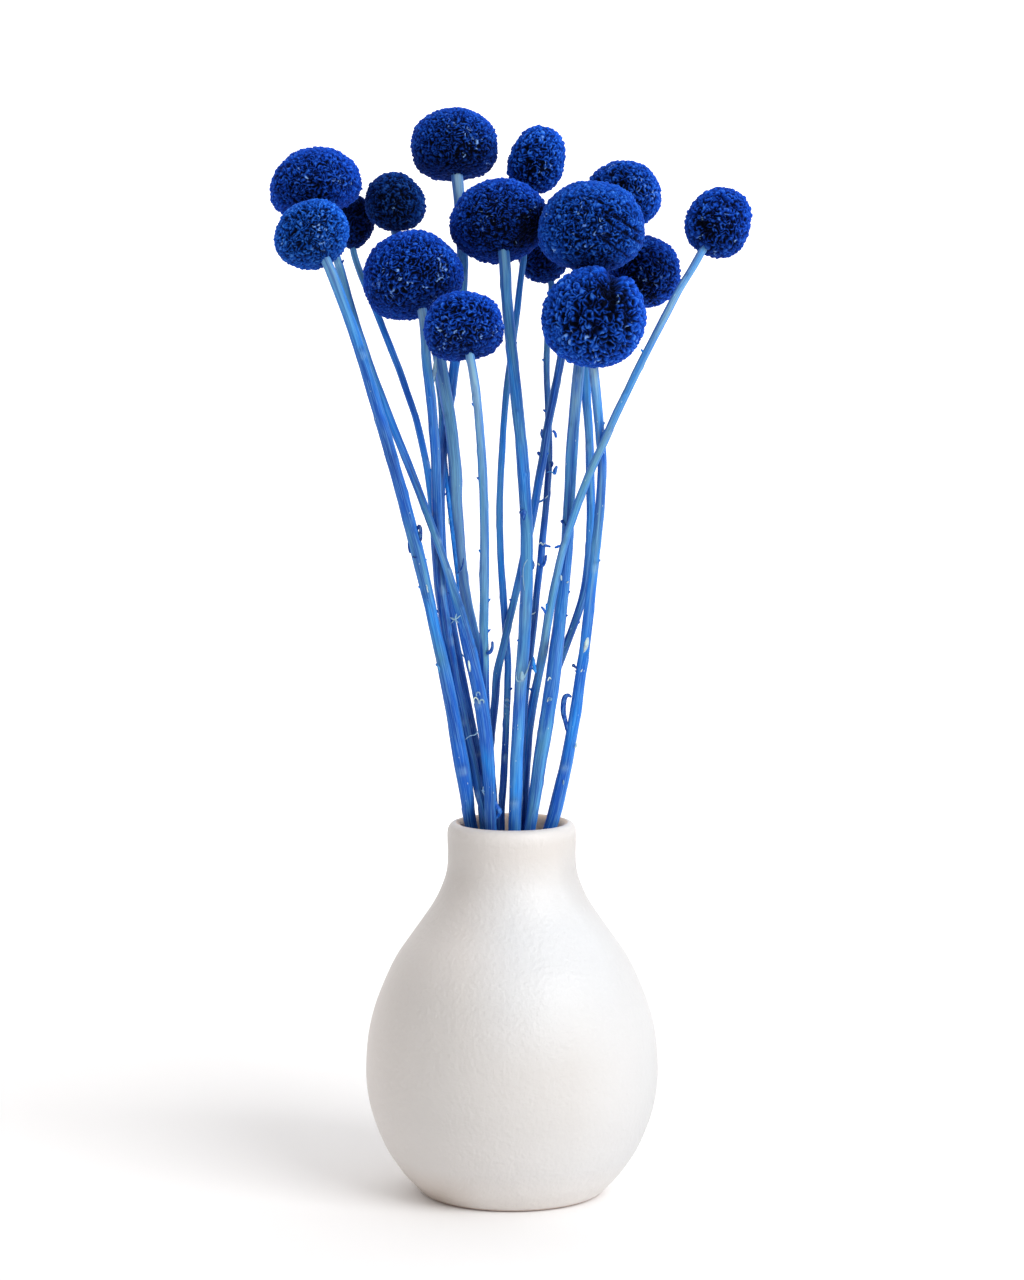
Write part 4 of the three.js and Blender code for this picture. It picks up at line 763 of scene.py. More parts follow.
# finer remnants drawn point by point: (stem, [(frame column, row), ...], radii in mm, ink, how far in front of the
# stem's centre line in stem radii)
TRACES = [
    (2, [(420.3, 541), (420.6, 534), (420.4, 528.5), (418.9, 526), (417.6, 529.5)], [0.45, 0.42, 0.42, 0.40, 0.28], "navy", 0.3),
    (2, [(410.2, 553), (409.2, 547), (408.2, 541)], [0.30, 0.38, 0.18], "deep", 0.2),
    (2, [(426.5, 587), (428.2, 592.5)], [0.14, 0.10], "cream", 1.0),
    (2, [(412, 556.5), (415.5, 557.5), (418, 556)], [0.14, 0.20, 0.10], "navy", 0.95),
    (5, [(443.5, 440), (446, 470), (448.6, 500), (451.2, 523), (455, 556), (458.5, 592)], [0.35, 0.50, 0.55, 0.50, 0.50, 0.30], "azure", -0.3),
    (5, [(435.5, 374), (439.0, 392), (441.2, 410), (441.0, 426), (440, 440)], [0.45, 0.60, 0.70, 0.60, 0.35], "sky", -0.2),
    (5, [(457.2, 573.5), (460.6, 570.0), (462.8, 564.5), (463.3, 558)], [0.20, 0.24, 0.22, 0.12], "deep", 1.0),
    (5, [(448.2, 518), (448.8, 524.5)], [0.20, 0.12], "cream", 0.2),
    (11, [(542.2, 438.5), (541.2, 433.5), (541.9, 428.5)], [0.22, 0.30, 0.16], "deep", 0.3),
    (11, [(542.5, 455.5), (539.2, 453.8), (537.2, 452.0)], [0.55, 0.45, 0.32], "deep", 0.2),
    (11, [(552.6, 430.5), (554.8, 432.6), (556.2, 437.8)], [0.28, 0.34, 0.36], "royal", 0.1),
    (15, [(550.5, 461.5), (552.3, 463.2), (551.5, 467.0)], [0.40, 0.32, 0.25], "navy", 0.8),
    (15, [(546.6, 472.6), (550.0, 471.6), (552.6, 472.6), (554.2, 474.6)], [0.15, 0.20, 0.18, 0.18], "sky", 1.0),
    (15, [(554.3, 474.8), (555.0, 470.5), (557.0, 465.6)], [0.42, 0.52, 0.26], "royal", 0.6),
    (15, [(539.4, 485.5), (541.8, 483.4), (543.2, 484.8)], [0.12, 0.18, 0.10], "cream", 1.0),
    (15, [(537.2, 502.5), (541.6, 500.8), (546.8, 496.8)], [0.32, 0.30, 0.14], "deep", 1.1),
    (15, [(545.0, 498.6), (548.0, 495.6)], [0.14, 0.10], "cream", 1.3),
    (15, [(533.0, 503.5), (533.6, 508.5)], [0.30, 0.14], "mist", 0.9),
    (15, [(538.8, 544.4), (541.0, 542.6), (542.8, 545.0), (544.8, 542.8)], [0.12, 0.18, 0.16, 0.10], "cream", 1.1),
    (15, [(541.5, 546.4), (546.0, 545.6), (550.8, 547.0)], [0.20, 0.34, 0.24], "royal", 0.8),
    (15, [(537.6, 563.2), (539.8, 565.4)], [0.20, 0.22], "cream", 1.1),
    (15, [(539.8, 565.6), (542.4, 566.0), (544.4, 563.6), (545.6, 559.6), (546.4, 554.6)], [0.28, 0.34, 0.32, 0.30, 0.22], "royal", 0.8),
    (15, [(531.8, 586.5), (532.4, 590.5)], [0.24, 0.14], "cream", 0.6),
    (15, [(531.0, 614.2), (533.4, 613.6), (535.6, 612.0)], [0.16, 0.16, 0.10], "cream", 1.0),
    (14, [(560.5, 545.4), (557.6, 546.6), (554.6, 547.8)], [0.24, 0.34, 0.24], "royal", 0.4),
    (14, [(561.0, 575.5), (561.4, 580.5)], [0.26, 0.20], "cream", 1.0),
    (14, [(541.0, 606.6), (543.6, 609.4), (545.6, 613.6)], [0.26, 0.32, 0.26], "royal", 0.4),
    (14, [(546.6, 603.4), (546.8, 608.0), (546.6, 613.6)], [0.28, 0.32, 0.24], "azure", 0.3),
    (10, [(566.8, 583.0), (568.6, 581.2)], [0.20, 0.14], "cream", 1.0),
    (10, [(561.5, 520.0), (562.4, 522.4), (566.0, 525.4)], [0.46, 0.36, 0.24], "deep", 0.9),
    (9, [(519.3, 513.2), (522.4, 512.4), (526.4, 512.6)], [0.45, 0.78, 0.62], "deep", 0.75),
    (9, [(523.2, 512.0), (523.6, 516.0), (524.2, 520.6)], [0.80, 0.58, 0.20], "deep", 0.75),
    (9, [(527.6, 559.5), (524.6, 564.0), (523.2, 571.0), (523.4, 580.0), (524.6, 591.0)], [0.10, 0.14, 0.15, 0.12, 0.08], "mist", 1.0),
    (9, [(531.8, 559.0), (533.4, 564.6), (532.6, 570.0)], [0.20, 0.34, 0.20], "deep", 0.2),
    (9, [(530.4, 660.0), (527.8, 669.0), (524.0, 677.6), (520.6, 681.4), (517.0, 680.6), (516.6, 672.0)], [0.12, 0.18, 0.22, 0.22, 0.18, 0.08], "mist", 1.0),
    (9, [(486.2, 653.4), (489.8, 652.2), (491.9, 648.6), (492.4, 645.0), (492.2, 641.2)], [0.40, 0.46, 0.42, 0.36, 0.30], "deep", 0.0),
    (10, [(547.6, 681.0), (549.6, 677.4), (551.2, 679.4)], [0.14, 0.20, 0.10], "cream", 1.0),
    (10, [(547.2, 702.0), (549.0, 698.0), (551.0, 700.6)], [0.14, 0.20, 0.10], "cream", 1.0),
    (10, [(549.0, 703.0), (549.2, 706.0)], [0.46, 0.34], "deep", 0.8),
    (12, [(567.4, 731.5), (565.4, 722.0), (563.2, 712.0), (563.5, 702.6), (565.2, 696.8), (568.4, 695.2), (571.4, 697.2)], [0.44, 0.52, 0.64, 0.66, 0.60, 0.44, 0.26], "deep", 0.4),
    (10, [(533.2, 657.0), (533.8, 664.5), (535.6, 673.0)], [0.26, 0.46, 0.30], "azure", 0.3),
    (12, [(587.6, 636.8), (586.6, 643.0), (585.4, 648.0), (583.2, 654.2)], [0.34, 0.56, 0.50, 0.16], "cream", 0.78),
    (12, [(581.0, 672.0), (582.4, 669.0)], [0.20, 0.12], "cream", 1.0),
    (12, [(575.0, 748.0), (576.6, 744.6), (575.8, 742.0)], [0.24, 0.26, 0.12], "cream", 1.0),
    (1, [(468.6, 660.4), (469.2, 665.6), (470.0, 671.8)], [0.22, 0.34, 0.16], "cream", 0.9),
    (1, [(474.2, 703.6), (473.6, 699.6), (475.4, 697.4), (477.8, 699.4), (479.0, 704.0)], [0.12, 0.16, 0.18, 0.16, 0.10], "cream", 1.0),
    (1, [(450.6, 618.4), (455.0, 619.6), (460.6, 615.2)], [0.14, 0.20, 0.14], "mist", 1.0),
    (1, [(456.4, 613.6), (455.4, 618.6), (456.0, 623.0)], [0.12, 0.18, 0.12], "mist", 1.1),
    (2, [(436.4, 664.6), (439.2, 668.4), (438.6, 673.0)], [0.22, 0.28, 0.14], "sky", 0.9),
    (2, [(426.2, 584.6), (427.6, 588.4)], [0.16, 0.12], "cream", 1.0),
    (4, [(453.0, 652.0), (455.4, 656.6), (458.4, 660.2)], [0.14, 0.18, 0.12], "mist", 1.1),
    (6, [(504.2, 700.8), (507.0, 699.4), (509.6, 701.6)], [0.22, 0.34, 0.22], "mist", 1.0),
]


def trace(st, pts, radii, ink, out):
    line = []
    for col, row in pts:
        y = st.at(height_of(row))[0][1]
        p, r = st.at(height_of(row, y))
        y = p[1] - out * r
        d = fwd + (col - W_PX / 2) / FOCAL_PX * right + (H_PX / 2 - row) / FOCAL_PX * up
        line.append(np.array(CAM) + d * (y - CAM[1]) / d[1])
    c, u = centre_line(np.array(line), 4)
    r = np.interp(u, np.arange(len(radii)), radii) * (1.25 if out >= 0.9 else 1.42)
    r[0] *= 0.6
    r[-1] *= 0.6
    v, f = tube(c, r, 7)
    return v, f, np.tile(INK[ink], (len(v), 1)), v * 0.4


def remnant(st, row, side, kind, size, rng):
    z = height_of(row, 0.0)
    p, r = st.at(height_of(row, st.at(z)[0][1]))
    out = np.array([side if side else rng.uniform(-0.25, 0.25), -0.35 if side else -1.0, 0.0])
    out /= np.linalg.norm(out)
    b = p + out * r * 0.72
    upv = np.array([0, 0, 1.0])
    L = []
    if kind == "nub":
        L.append(spur(b, out + upv * rng.uniform(0.1, 0.9), r * 0.28 + size * 0.72, 0.50, upv * 0.25 * size, ink=rng.choice(["royal", "royal", "deep", "azure"]), tip=0.55))
    elif kind == "bud":
        L.append(spur(b, out + upv * 0.6, r * 0.28 + size, 0.42, upv * 0.3, tip=1.0, knob=0.35, ink="navy"))
        L.append(spur(b - upv * 0.8, out + upv * 0.1, r * 0.28 + size * 0.5, 0.4, ink="deep"))
    elif kind in ("hook", "claw"):
        s = 1.0 if kind == "hook" else -0.2
        L.append(spur(b - upv * size * 0.35, out, r * 0.28 + size * 0.42, 0.5, upv * size * (0.85 if kind == "hook" else -0.6), rings=12, tip=0.5, ink="deep"))
        L.append(spur(b - upv * size * 0.1, out * 0.9 + upv * 0.8 * s, r * 0.28 + size * 0.3, 0.36, ink="navy", tip=0.5))
    elif kind == "twig":
        L.append(spur(b - upv * size * 0.4, out + upv * 1.1, r * 0.28 + size * 0.8, 0.40, out * size * 0.25, tip=0.55, ink="royal", rings=10))
        L.append(spur(b - upv * size * 0.15 + out * size * 0.2, upv * 1.0 + out * 0.1, size * 0.6, 0.28, -out * 0.3, tip=0.5, ink="azure"))
    elif kind == "bract":
        o = out * 1.0
        pts = [b - upv * 1.5, b + o * 1.1 + upv * size * 0.22, b + o * 1.75 + upv * size * 0.5, b + o * 1.9 + upv * size * 0.8, b + o * 1.7 + upv * size]
        L.append(blade(pts, [0.5, 1.1, 0.9, 0.55, 0.4], 0.16, (0.3, -1, 0), "deep"))
        L.append(spur(pts[-1] - upv * 0.6, upv + out * 0.2, 1.5, 0.35, out * 0.4, tip=1.0, knob=0.3, ink="deep"))
        L.append(spur(pts[-1], -out + upv * 0.3, 1.4, 0.24, ink="azure"))
    elif kind == "sheath":
        o = out
        pts = [b - upv * 1.0, b + o * 0.75 + upv * size * 0.35, b + o * 0.95 + upv * size * 0.75, b + o * 1.25 + upv * size]
        L.append(blade(pts, [1.2, 1.5, 1.0, 0.2], 0.16, (0.2, -1, 0), "mist"))
    elif kind == "peel":
        f = out
        pts = [b - upv * size * 0.5 + f * r * 0.05, b + f * r * 0.33, b + upv * size * 0.5 + f * r * 0.1]
        L.append(blade(pts, [0.2, r * 0.95, 0.3], 0.14, f, "mist"))
    elif kind == "scar":
        L.append(spur(b, out + upv * 0.25, r * 0.28 + 0.55, size * 0.42, tip=0.92, ink="pale", sides=12))
        L.append(spur(b, out + upv * 0.25, r * 0.28 + 0.72, size * 0.16, tip=0.9, ink="teal", sides=9))
    elif kind == "curl":
        c = b + out * r * 0.2
        th = np.linspace(-0.4, 4.0, 7)
        pts = [c + out * 0.5 + np.array([math.cos(a) * size * 0.24, -0.08 * i, math.sin(a) * size * 0.3]) for i, a in enumerate(th)]
        L.append(blade(pts, [0.25, 0.5, 0.5, 0.3], 0.1, (0, -1, 0.15), "mist"))
    elif kind == "cross":
        a = b + np.array([0.4, -0.5, -1.2])
        L.append(blade([a, a + np.array([-size * 0.3, -0.5, 1.6]), a + np.array([-size * 0.75, -0.3, 2.2])], [0.35, 0.5, 0.2], 0.1, (0, -1, 0.2), "mist"))
        a = b + np.array([-0.2, -0.5, 1.4])
        L.append(blade([a, a + np.array([-size * 0.25, -0.6, -1.3]), a + np.array([-size * 0.55, -0.5, -2.6])], [0.3, 0.45, 0.15], 0.1, (0, -1, 0.2), "pale"))
    elif kind == "thread":
        a = b + out * r * 0.2
        L.append(blade([a + upv * 1.0, a + out * size * 0.3 - upv * 0.6, a + out * size * 0.62 - upv * 0.9, a + out * size * 0.95 - upv * 2.0], [0.3, 0.34, 0.3, 0.15], 0.1, (0, -1, 0.3), "mist"))
    elif kind == "tag":
        a = b + out * r * 0.2
        L.append(blade([a - upv * size * 0.4, a + out * 0.45, a + out * 0.35 + upv * size * 0.55], [0.25, 0.6, 0.2], 0.12, (0.2, -1, 0.2), "mist"))
        L.append(spur(a, out + upv * 0.4, r * 0.1 + size * 0.35, 0.25, ink="pale"))
    elif kind == "shield":
        pts = [b + upv * size * 0.75 - out * 0.2, b + out * 0.9, b + out * 1.75 - upv * size * 0.35, b + out * 0.4 - upv * size * 0.95]
        L.append(blade(pts, [0.6, 1.6, 1.7, 0.6], 0.35, (0.3, -1, 0), "royal"))
    elif kind == "node":
        L.append(spur(b, out + upv * 0.2, r * 0.28 + size * 0.3, size * 0.5, tip=0.6, ink="azure", sides=10))
    return L


stems = {k: Stem(k) for k in STEMS}
for k, st in stems.items():
    parts = [stem_mesh(st)]
    rng = np.random.default_rng(5000 + k)
    for (kk, row, side, kind, size) in REMNANTS:
        if kk == k:
            parts += remnant(st, row, side, kind, size, rng)
    parts += [trace(st, *rest) for kk, *rest in TRACES if kk == k]
    off, V, F, C, A = 0, [], [], [], []
    for v, f, c, a in parts:
        V.append(v); F.append(f + off); C.append(c); A.append(a)
        off += len(v)
    V, F, C, A = np.vstack(V), np.vstack(F), np.vstack(C), np.vstack(A)
    ob = link("stalk_%02d" % k, V, F)
    put(ob.data, "dye", "FLOAT_COLOR", np.column_stack([np.clip(C, 0, 1), np.ones(len(C))]))
    put(ob.data, "along", "FLOAT_VECTOR", A)
    ob.data.materials.append(stalk)
    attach(ob, "root")
    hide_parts("stem_%02d" % k)

# ------------------------------------------------------------------ flower heads
# soft departures from an even ball: (direction in the frame as right, up and towards the viewer; millimetres; width in radians)
LUMPS = {
    1: [((0.9, -0.6, 0.3), 0.6, 0.45), ((-0.9, -0.5, 0.2), 0.5, 0.4), ((-0.72, 0.70, 0), -0.7, 0.30), ((0.72, 0.70, 0), -0.7, 0.30)],
    4: [((-0.7, 0.7, 0), 0.45, 0.5), ((0.7, -0.7, 0), 0.45, 0.5), ((0.7, 0.7, 0), -0.4, 0.5), ((-0.7, -0.7, 0), -0.4, 0.5)],
    5: [((0.75, -0.75, 0.1), 0.5, 0.4), ((0.6, 0.75, 0), -0.4, 0.4)],
    6: [((0.8, 0.5, 0), 0.5, 0.4), ((-0.8, 0.5, 0), -0.4, 0.5)],
    7: [((-0.6, -0.7, 0), -0.4, 0.5)],
    8: [((0.80, -0.60, 0.1), 1.1, 0.42)],
    9: [((-0.7, 0.7, 0), -0.4, 0.5), ((0.8, -0.4, 0.6), -1.3, 0.38)],
    11: [((-0.6, 0.7, 0), -0.5, 0.5)],
    12: [((0.40, 0.92, -0.2), -2.6, 0.17), ((0.40, 0.92, 0.05), -3.2, 0.16), ((0.40, 0.86, 0.32), -3.2, 0.16), ((0.38, 0.72, 0.58), -2.4, 0.17),
         ((0.33, 0.50, 0.80), -1.9, 0.17), ((0.28, 0.25, 0.93), -1.2, 0.18), ((0.66, 0.72, 0.15), 0.7, 0.22), ((-0.02, 0.98, 0.2), 0.7, 0.30),
         ((0.8, -0.5, 0), -0.5, 0.4)],
    13: [((0.6, -0.75, 0), -0.6, 0.4), ((0.8, 0.5, 0), 0.4, 0.4)],
    14: [((0.75, -0.3, 0), 0.3, 0.5)],
}
# spread of the florets and of their curled petals, against the usual
COARSE = {12: 1.42, 10: 1.02, 14: 1.08, 11: 1.08, 13: 1.1, 2: 0.92, 8: 1.06, 5: 0.95, 6: 1.12, 9: 0.94}
# how bright the colour is in the middle (each head's own dye, painted darker on the heads that stand in the shade of
# others) and towards the underside (painted shade); and how much it leans to azure
TONE = {1: (0.86, 0.78), 2: (0.88, 0.60), 3: (0.35, 0.8), 4: (0.37, 0.8), 5: (0.85, 0.42), 6: (1.24, 0.8), 7: (1.02, 0.5), 8: (1.15, 0.42),
        9: (0.84, 0.5), 10: (0.92, 0.72), 11: (0.90, 0.9), 12: (0.92, 0.78), 13: (0.66, 1.0), 14: (0.92, 0.62), 15: (0.43, 0.9)}
AZURE = {2: 0.66, 10: 0.35, 12: 0.2, 11: 0.25, 6: 0.25, 4: 0.5, 5: 0.15}
# how much lighter a head's flanks are painted, against the usual: painted rim light
RIM = {1: 0.16, 2: 0.18, 6: -0.20, 7: -0.12, 8: -0.20, 9: 0.14, 10: -0.10, 14: -0.08}
# gaps between the florets: how deep, and how dark they are painted (painted shade in the pits)
PITS = {12: 1.35, 2: 1.15, 14: 1.1, 6: 1.1, 10: 0.95, 9: 0.9, 5: 1.05, 8: 1.1}
# dusty, paler patches: frame column, row, radius, how many of the petals there
DUST = {
    1: [(300, 174, 8, .5), (306, 176, 4, .9), (339, 184, 6, .5), (342, 187, 3, .8), (353, 184, 2.5, .9), (275, 196, 4, .4)],
    2: [(281, 241, 3, .9), (320, 226, 12, .3), (322, 240, 9, .35)],
    4: [(394, 197, 3, .8), (396, 209, 3, .7), (406, 220, 3, .7)],
    5: [(466, 132, 4, .9), (479, 142, 8, .4), (475, 149, 3, .8), (487, 166, 3.5, .9), (463, 156, 3, .9), (452, 124, 8, .1)],
    6: [(547, 166, 4, .8), (542, 137, 4, .3), (537, 175, 7, .25)],
    7: [(397, 271, 3.5, .8), (403, 280, 4, .9), (408, 285, 4, 1.0), (439, 258, 3.5, .95), (443, 264, 4, .9), (445, 272, 5, .8), (442, 280, 6, .8),
        (377, 283, 4, .6), (426, 287, 3, .8), (436, 299, 4, .8), (430, 305, 2, .9), (384, 268, 8, .15), (388, 290, 8, .12)],
    8: [(430, 303, 2.5, .9), (440, 329, 3.5, .9), (446, 342, 4, .95), (441, 348, 3, .8), (457, 331, 12, .35), (480, 339, 4, .7), (498, 331, 6, .7),
        (492, 337, 3, .9), (468, 325, 10, .2)],
    9: [(515, 245, 3, 1.0), (532, 210, 4, .6), (535, 209, 2, 1.0), (524, 217, 5, .35), (458, 208, 2, .9), (487, 215, 12, .08)],
    10: [(580, 209, 9, .35), (597, 223, 8, .4), (553, 251, 2.5, 1.0), (546, 215, 2.5, 1.0), (541, 213, 2, 1.0), (569, 247, 4, .5), (588, 240, 14, .15)],
    11: [(612, 167, 4, .7), (653, 194, 6, .45), (640, 185, 8, .2)],
    12: [(601, 295, 3, .9), (620, 295, 2.5, 1.0), (619, 301, 2.5, .9), (598, 312, 3, .6), (587, 341, 10, .3), (600, 350, 12, .15), (635, 345, 8, .3),
         (597, 361, 6, .4), (572, 335, 10, .12), (629, 326, 4, .6)],
    13: [(650, 275, 12, .08)],
    14: [(701, 237, 2.5, 1.0), (735, 240, 2.5, .9), (716, 254, 2.5, .9), (722, 218, 9, .2), (700, 219, 3, .5)],
}
# painted shade: darker patches where the florets lie in shadow, given as frame column, row, radius, how dark
SHADE = {
    1: [(312, 200, 12, .35)],
    4: [(396, 205, 14, .45), (408, 186, 9, .3)],
    5: [(456, 158, 18, .35), (476, 150, 14, .35)],
    6: [(531, 166, 13, .35)],
    7: [(434, 270, 13, .3)],
    9: [(529, 222, 13, .75), (518, 238, 12, .5), (490, 230, 22, .3)],
    10: [(590, 262, 12, .35)],
    11: [(618, 190, 12, .5)],
    12: [(617, 300, 8, .5), (598, 290, 9, .5)],
    13: [(634, 284, 16, .95), (648, 297, 8, .6)],
    14: [(705, 225, 10, .6)],
}
# narrow slots between rows of florets, painted darker inside (painted shade): from column, row to column, row, width,
# depth in mm, how dark
SLOTS = {
    10: [(605, 211, 640, 231, 1.7, 0.9, .95), (609, 222, 641, 243, 1.5, 0.7, .85), (594, 232, 629, 258, 1.6, 0.6, .8), (586, 245, 617, 268, 1.3, 0.4, .55)],
    12: [(613, 278, 614, 312, 3.4, 1.0, .96), (626, 290, 627, 334, 2.8, 0.8, .95), (600, 282, 607, 298, 2.6, 0.6, .75), (590, 300, 604, 309, 1.7, 0.5, .6),
         (584, 318, 601, 316, 1.7, 0.5, .6), (592, 336, 603, 324, 1.7, 0.5, .6), (608, 344, 610, 328, 1.7, 0.5, .6)],
    13: [(652, 254, 672, 268, 1.4, 0.4, .6)],
    14: [(700, 214, 708, 240, 2.0, 0.5, .6)],
}


def geodesic(n):
    """Unit directions and triangles of an even ball with n steps along each edge of an icosahedron."""
    g = (1 + 5 ** 0.5) / 2
    A = np.array([(-1, g, 0), (1, g, 0), (-1, -g, 0), (1, -g, 0), (0, -1, g), (0, 1, g), (0, -1, -g), (0, 1, -g), (g, 0, -1), (g, 0, 1),
                  (-g, 0, -1), (-g, 0, 1)]) / math.sqrt(1 + g * g)
    F = [(0, 11, 5), (0, 5, 1), (0, 1, 7), (0, 7, 10), (0, 10, 11), (1, 5, 9), (5, 11, 4), (11, 10, 2), (10, 7, 6), (7, 1, 8), (3, 9, 4),
         (3, 4, 2), (3, 2, 6), (3, 6, 8), (3, 8, 9), (4, 9, 5), (2, 4, 11), (6, 2, 10), (8, 6, 7), (9, 8, 1)]
    ij = np.array([(i, j) for i in range(n + 1) for j in range(n + 1 - i)])
    at = {(i, j): q for q, (i, j) in enumerate(map(tuple, ij))}
    T = [(at[i, j], at[i + 1, j], at[i, j + 1]) for i in range(n) for j in range(n - i)]
    T += [(at[i + 1, j], at[i + 1, j + 1], at[i, j + 1]) for i in range(n - 1) for j in range(n - 1 - i)]
    T = np.array(T)
    P, Q = [], []
    for q, (a, b_, c) in enumerate(F):
        w = np.column_stack([n - ij.sum(1), ij]) / n
        P.append(w @ A[[a, b_, c]])
        Q.append(T + q * len(ij))
    P, Q = np.vstack(P), np.vstack(Q)
    P /= np.linalg.norm(P, axis=1)[:, None]
    _, first, back = np.unique(np.round(P * 1e5).astype(np.int64), axis=0, return_index=True, return_inverse=True)
    back = back.reshape(-1)
    return P[first], back[Q].astype(np.int32)


def waves(p, length, seed, count=70, spread=0.12):
    """A field of unit strength made of plane waves of about one length, running every way."""
    rng = np.random.default_rng(seed)
    k = rng.normal(0, 1, (count, 3))
    k *= (2 * np.pi / (length * (1 + spread * rng.normal(0, 1, count))) / np.linalg.norm(k, axis=1))[:, None]
    return np.cos(p @ k.T + rng.uniform(0, 2 * np.pi, count)).sum(1) * math.sqrt(2 / count)


def ridges(p, nrm, length, seed, width, count=64, spread=0.10):
    """Curly lines of one width, along which a field of plane waves passes through nought; and that field."""
    rng = np.random.default_rng(seed)
    k = rng.normal(0, 1, (count, 3))
    k *= (2 * np.pi / (length * (1 + spread * rng.normal(0, 1, count))) / np.linalg.norm(k, axis=1))[:, None]
    a = p @ k.T + rng.uniform(0, 2 * np.pi, count)
    w = np.cos(a).sum(1) * math.sqrt(2 / count)
    g = np.sin(a) @ k * math.sqrt(2 / count)
    g -= nrm * (g * nrm).sum(1)[:, None]
    usual = 2 * np.pi / length
    return np.exp(-(w / (width * np.sqrt((g ** 2).sum(1) + (0.35 * usual) ** 2))) ** 2), w


def step(x, lo, hi):
    t = np.clip((x - lo) / (hi - lo), 0, 1)
    return t * t * (3 - 2 * t)


def ball(U, ra, hb, sq, base):
    """Points of a head's even surface in its own axes, and their outward directions."""
    rim = np.hypot(U[:, 0], U[:, 1])
    p = np.where(U[:, 2] < 0, sq, 2.0)
    g = (rim ** p + np.abs(U[:, 2]) ** p) ** (-1 / p)
    h = np.where(U[:, 2] < 0, hb * base, hb)
    S = np.column_stack([U[:, 0] * g * ra, U[:, 1] * g * ra, U[:, 2] * g * h])
    N = S / np.column_stack([np.full(len(U), ra * ra), np.full(len(U), ra * ra), h * h])
    return S, N / np.linalg.norm(N, axis=1)[:, None]


def head_frame(k):
    centre, axis = HEADS[k][:2]
    z = np.array(axis, float) / np.linalg.norm(axis)
    x = np.cross([0, 1.0, 0], z)
    x /= np.linalg.norm(x)
    return np.array(centre, float), np.stack([x, np.cross(z, x), z], 1)


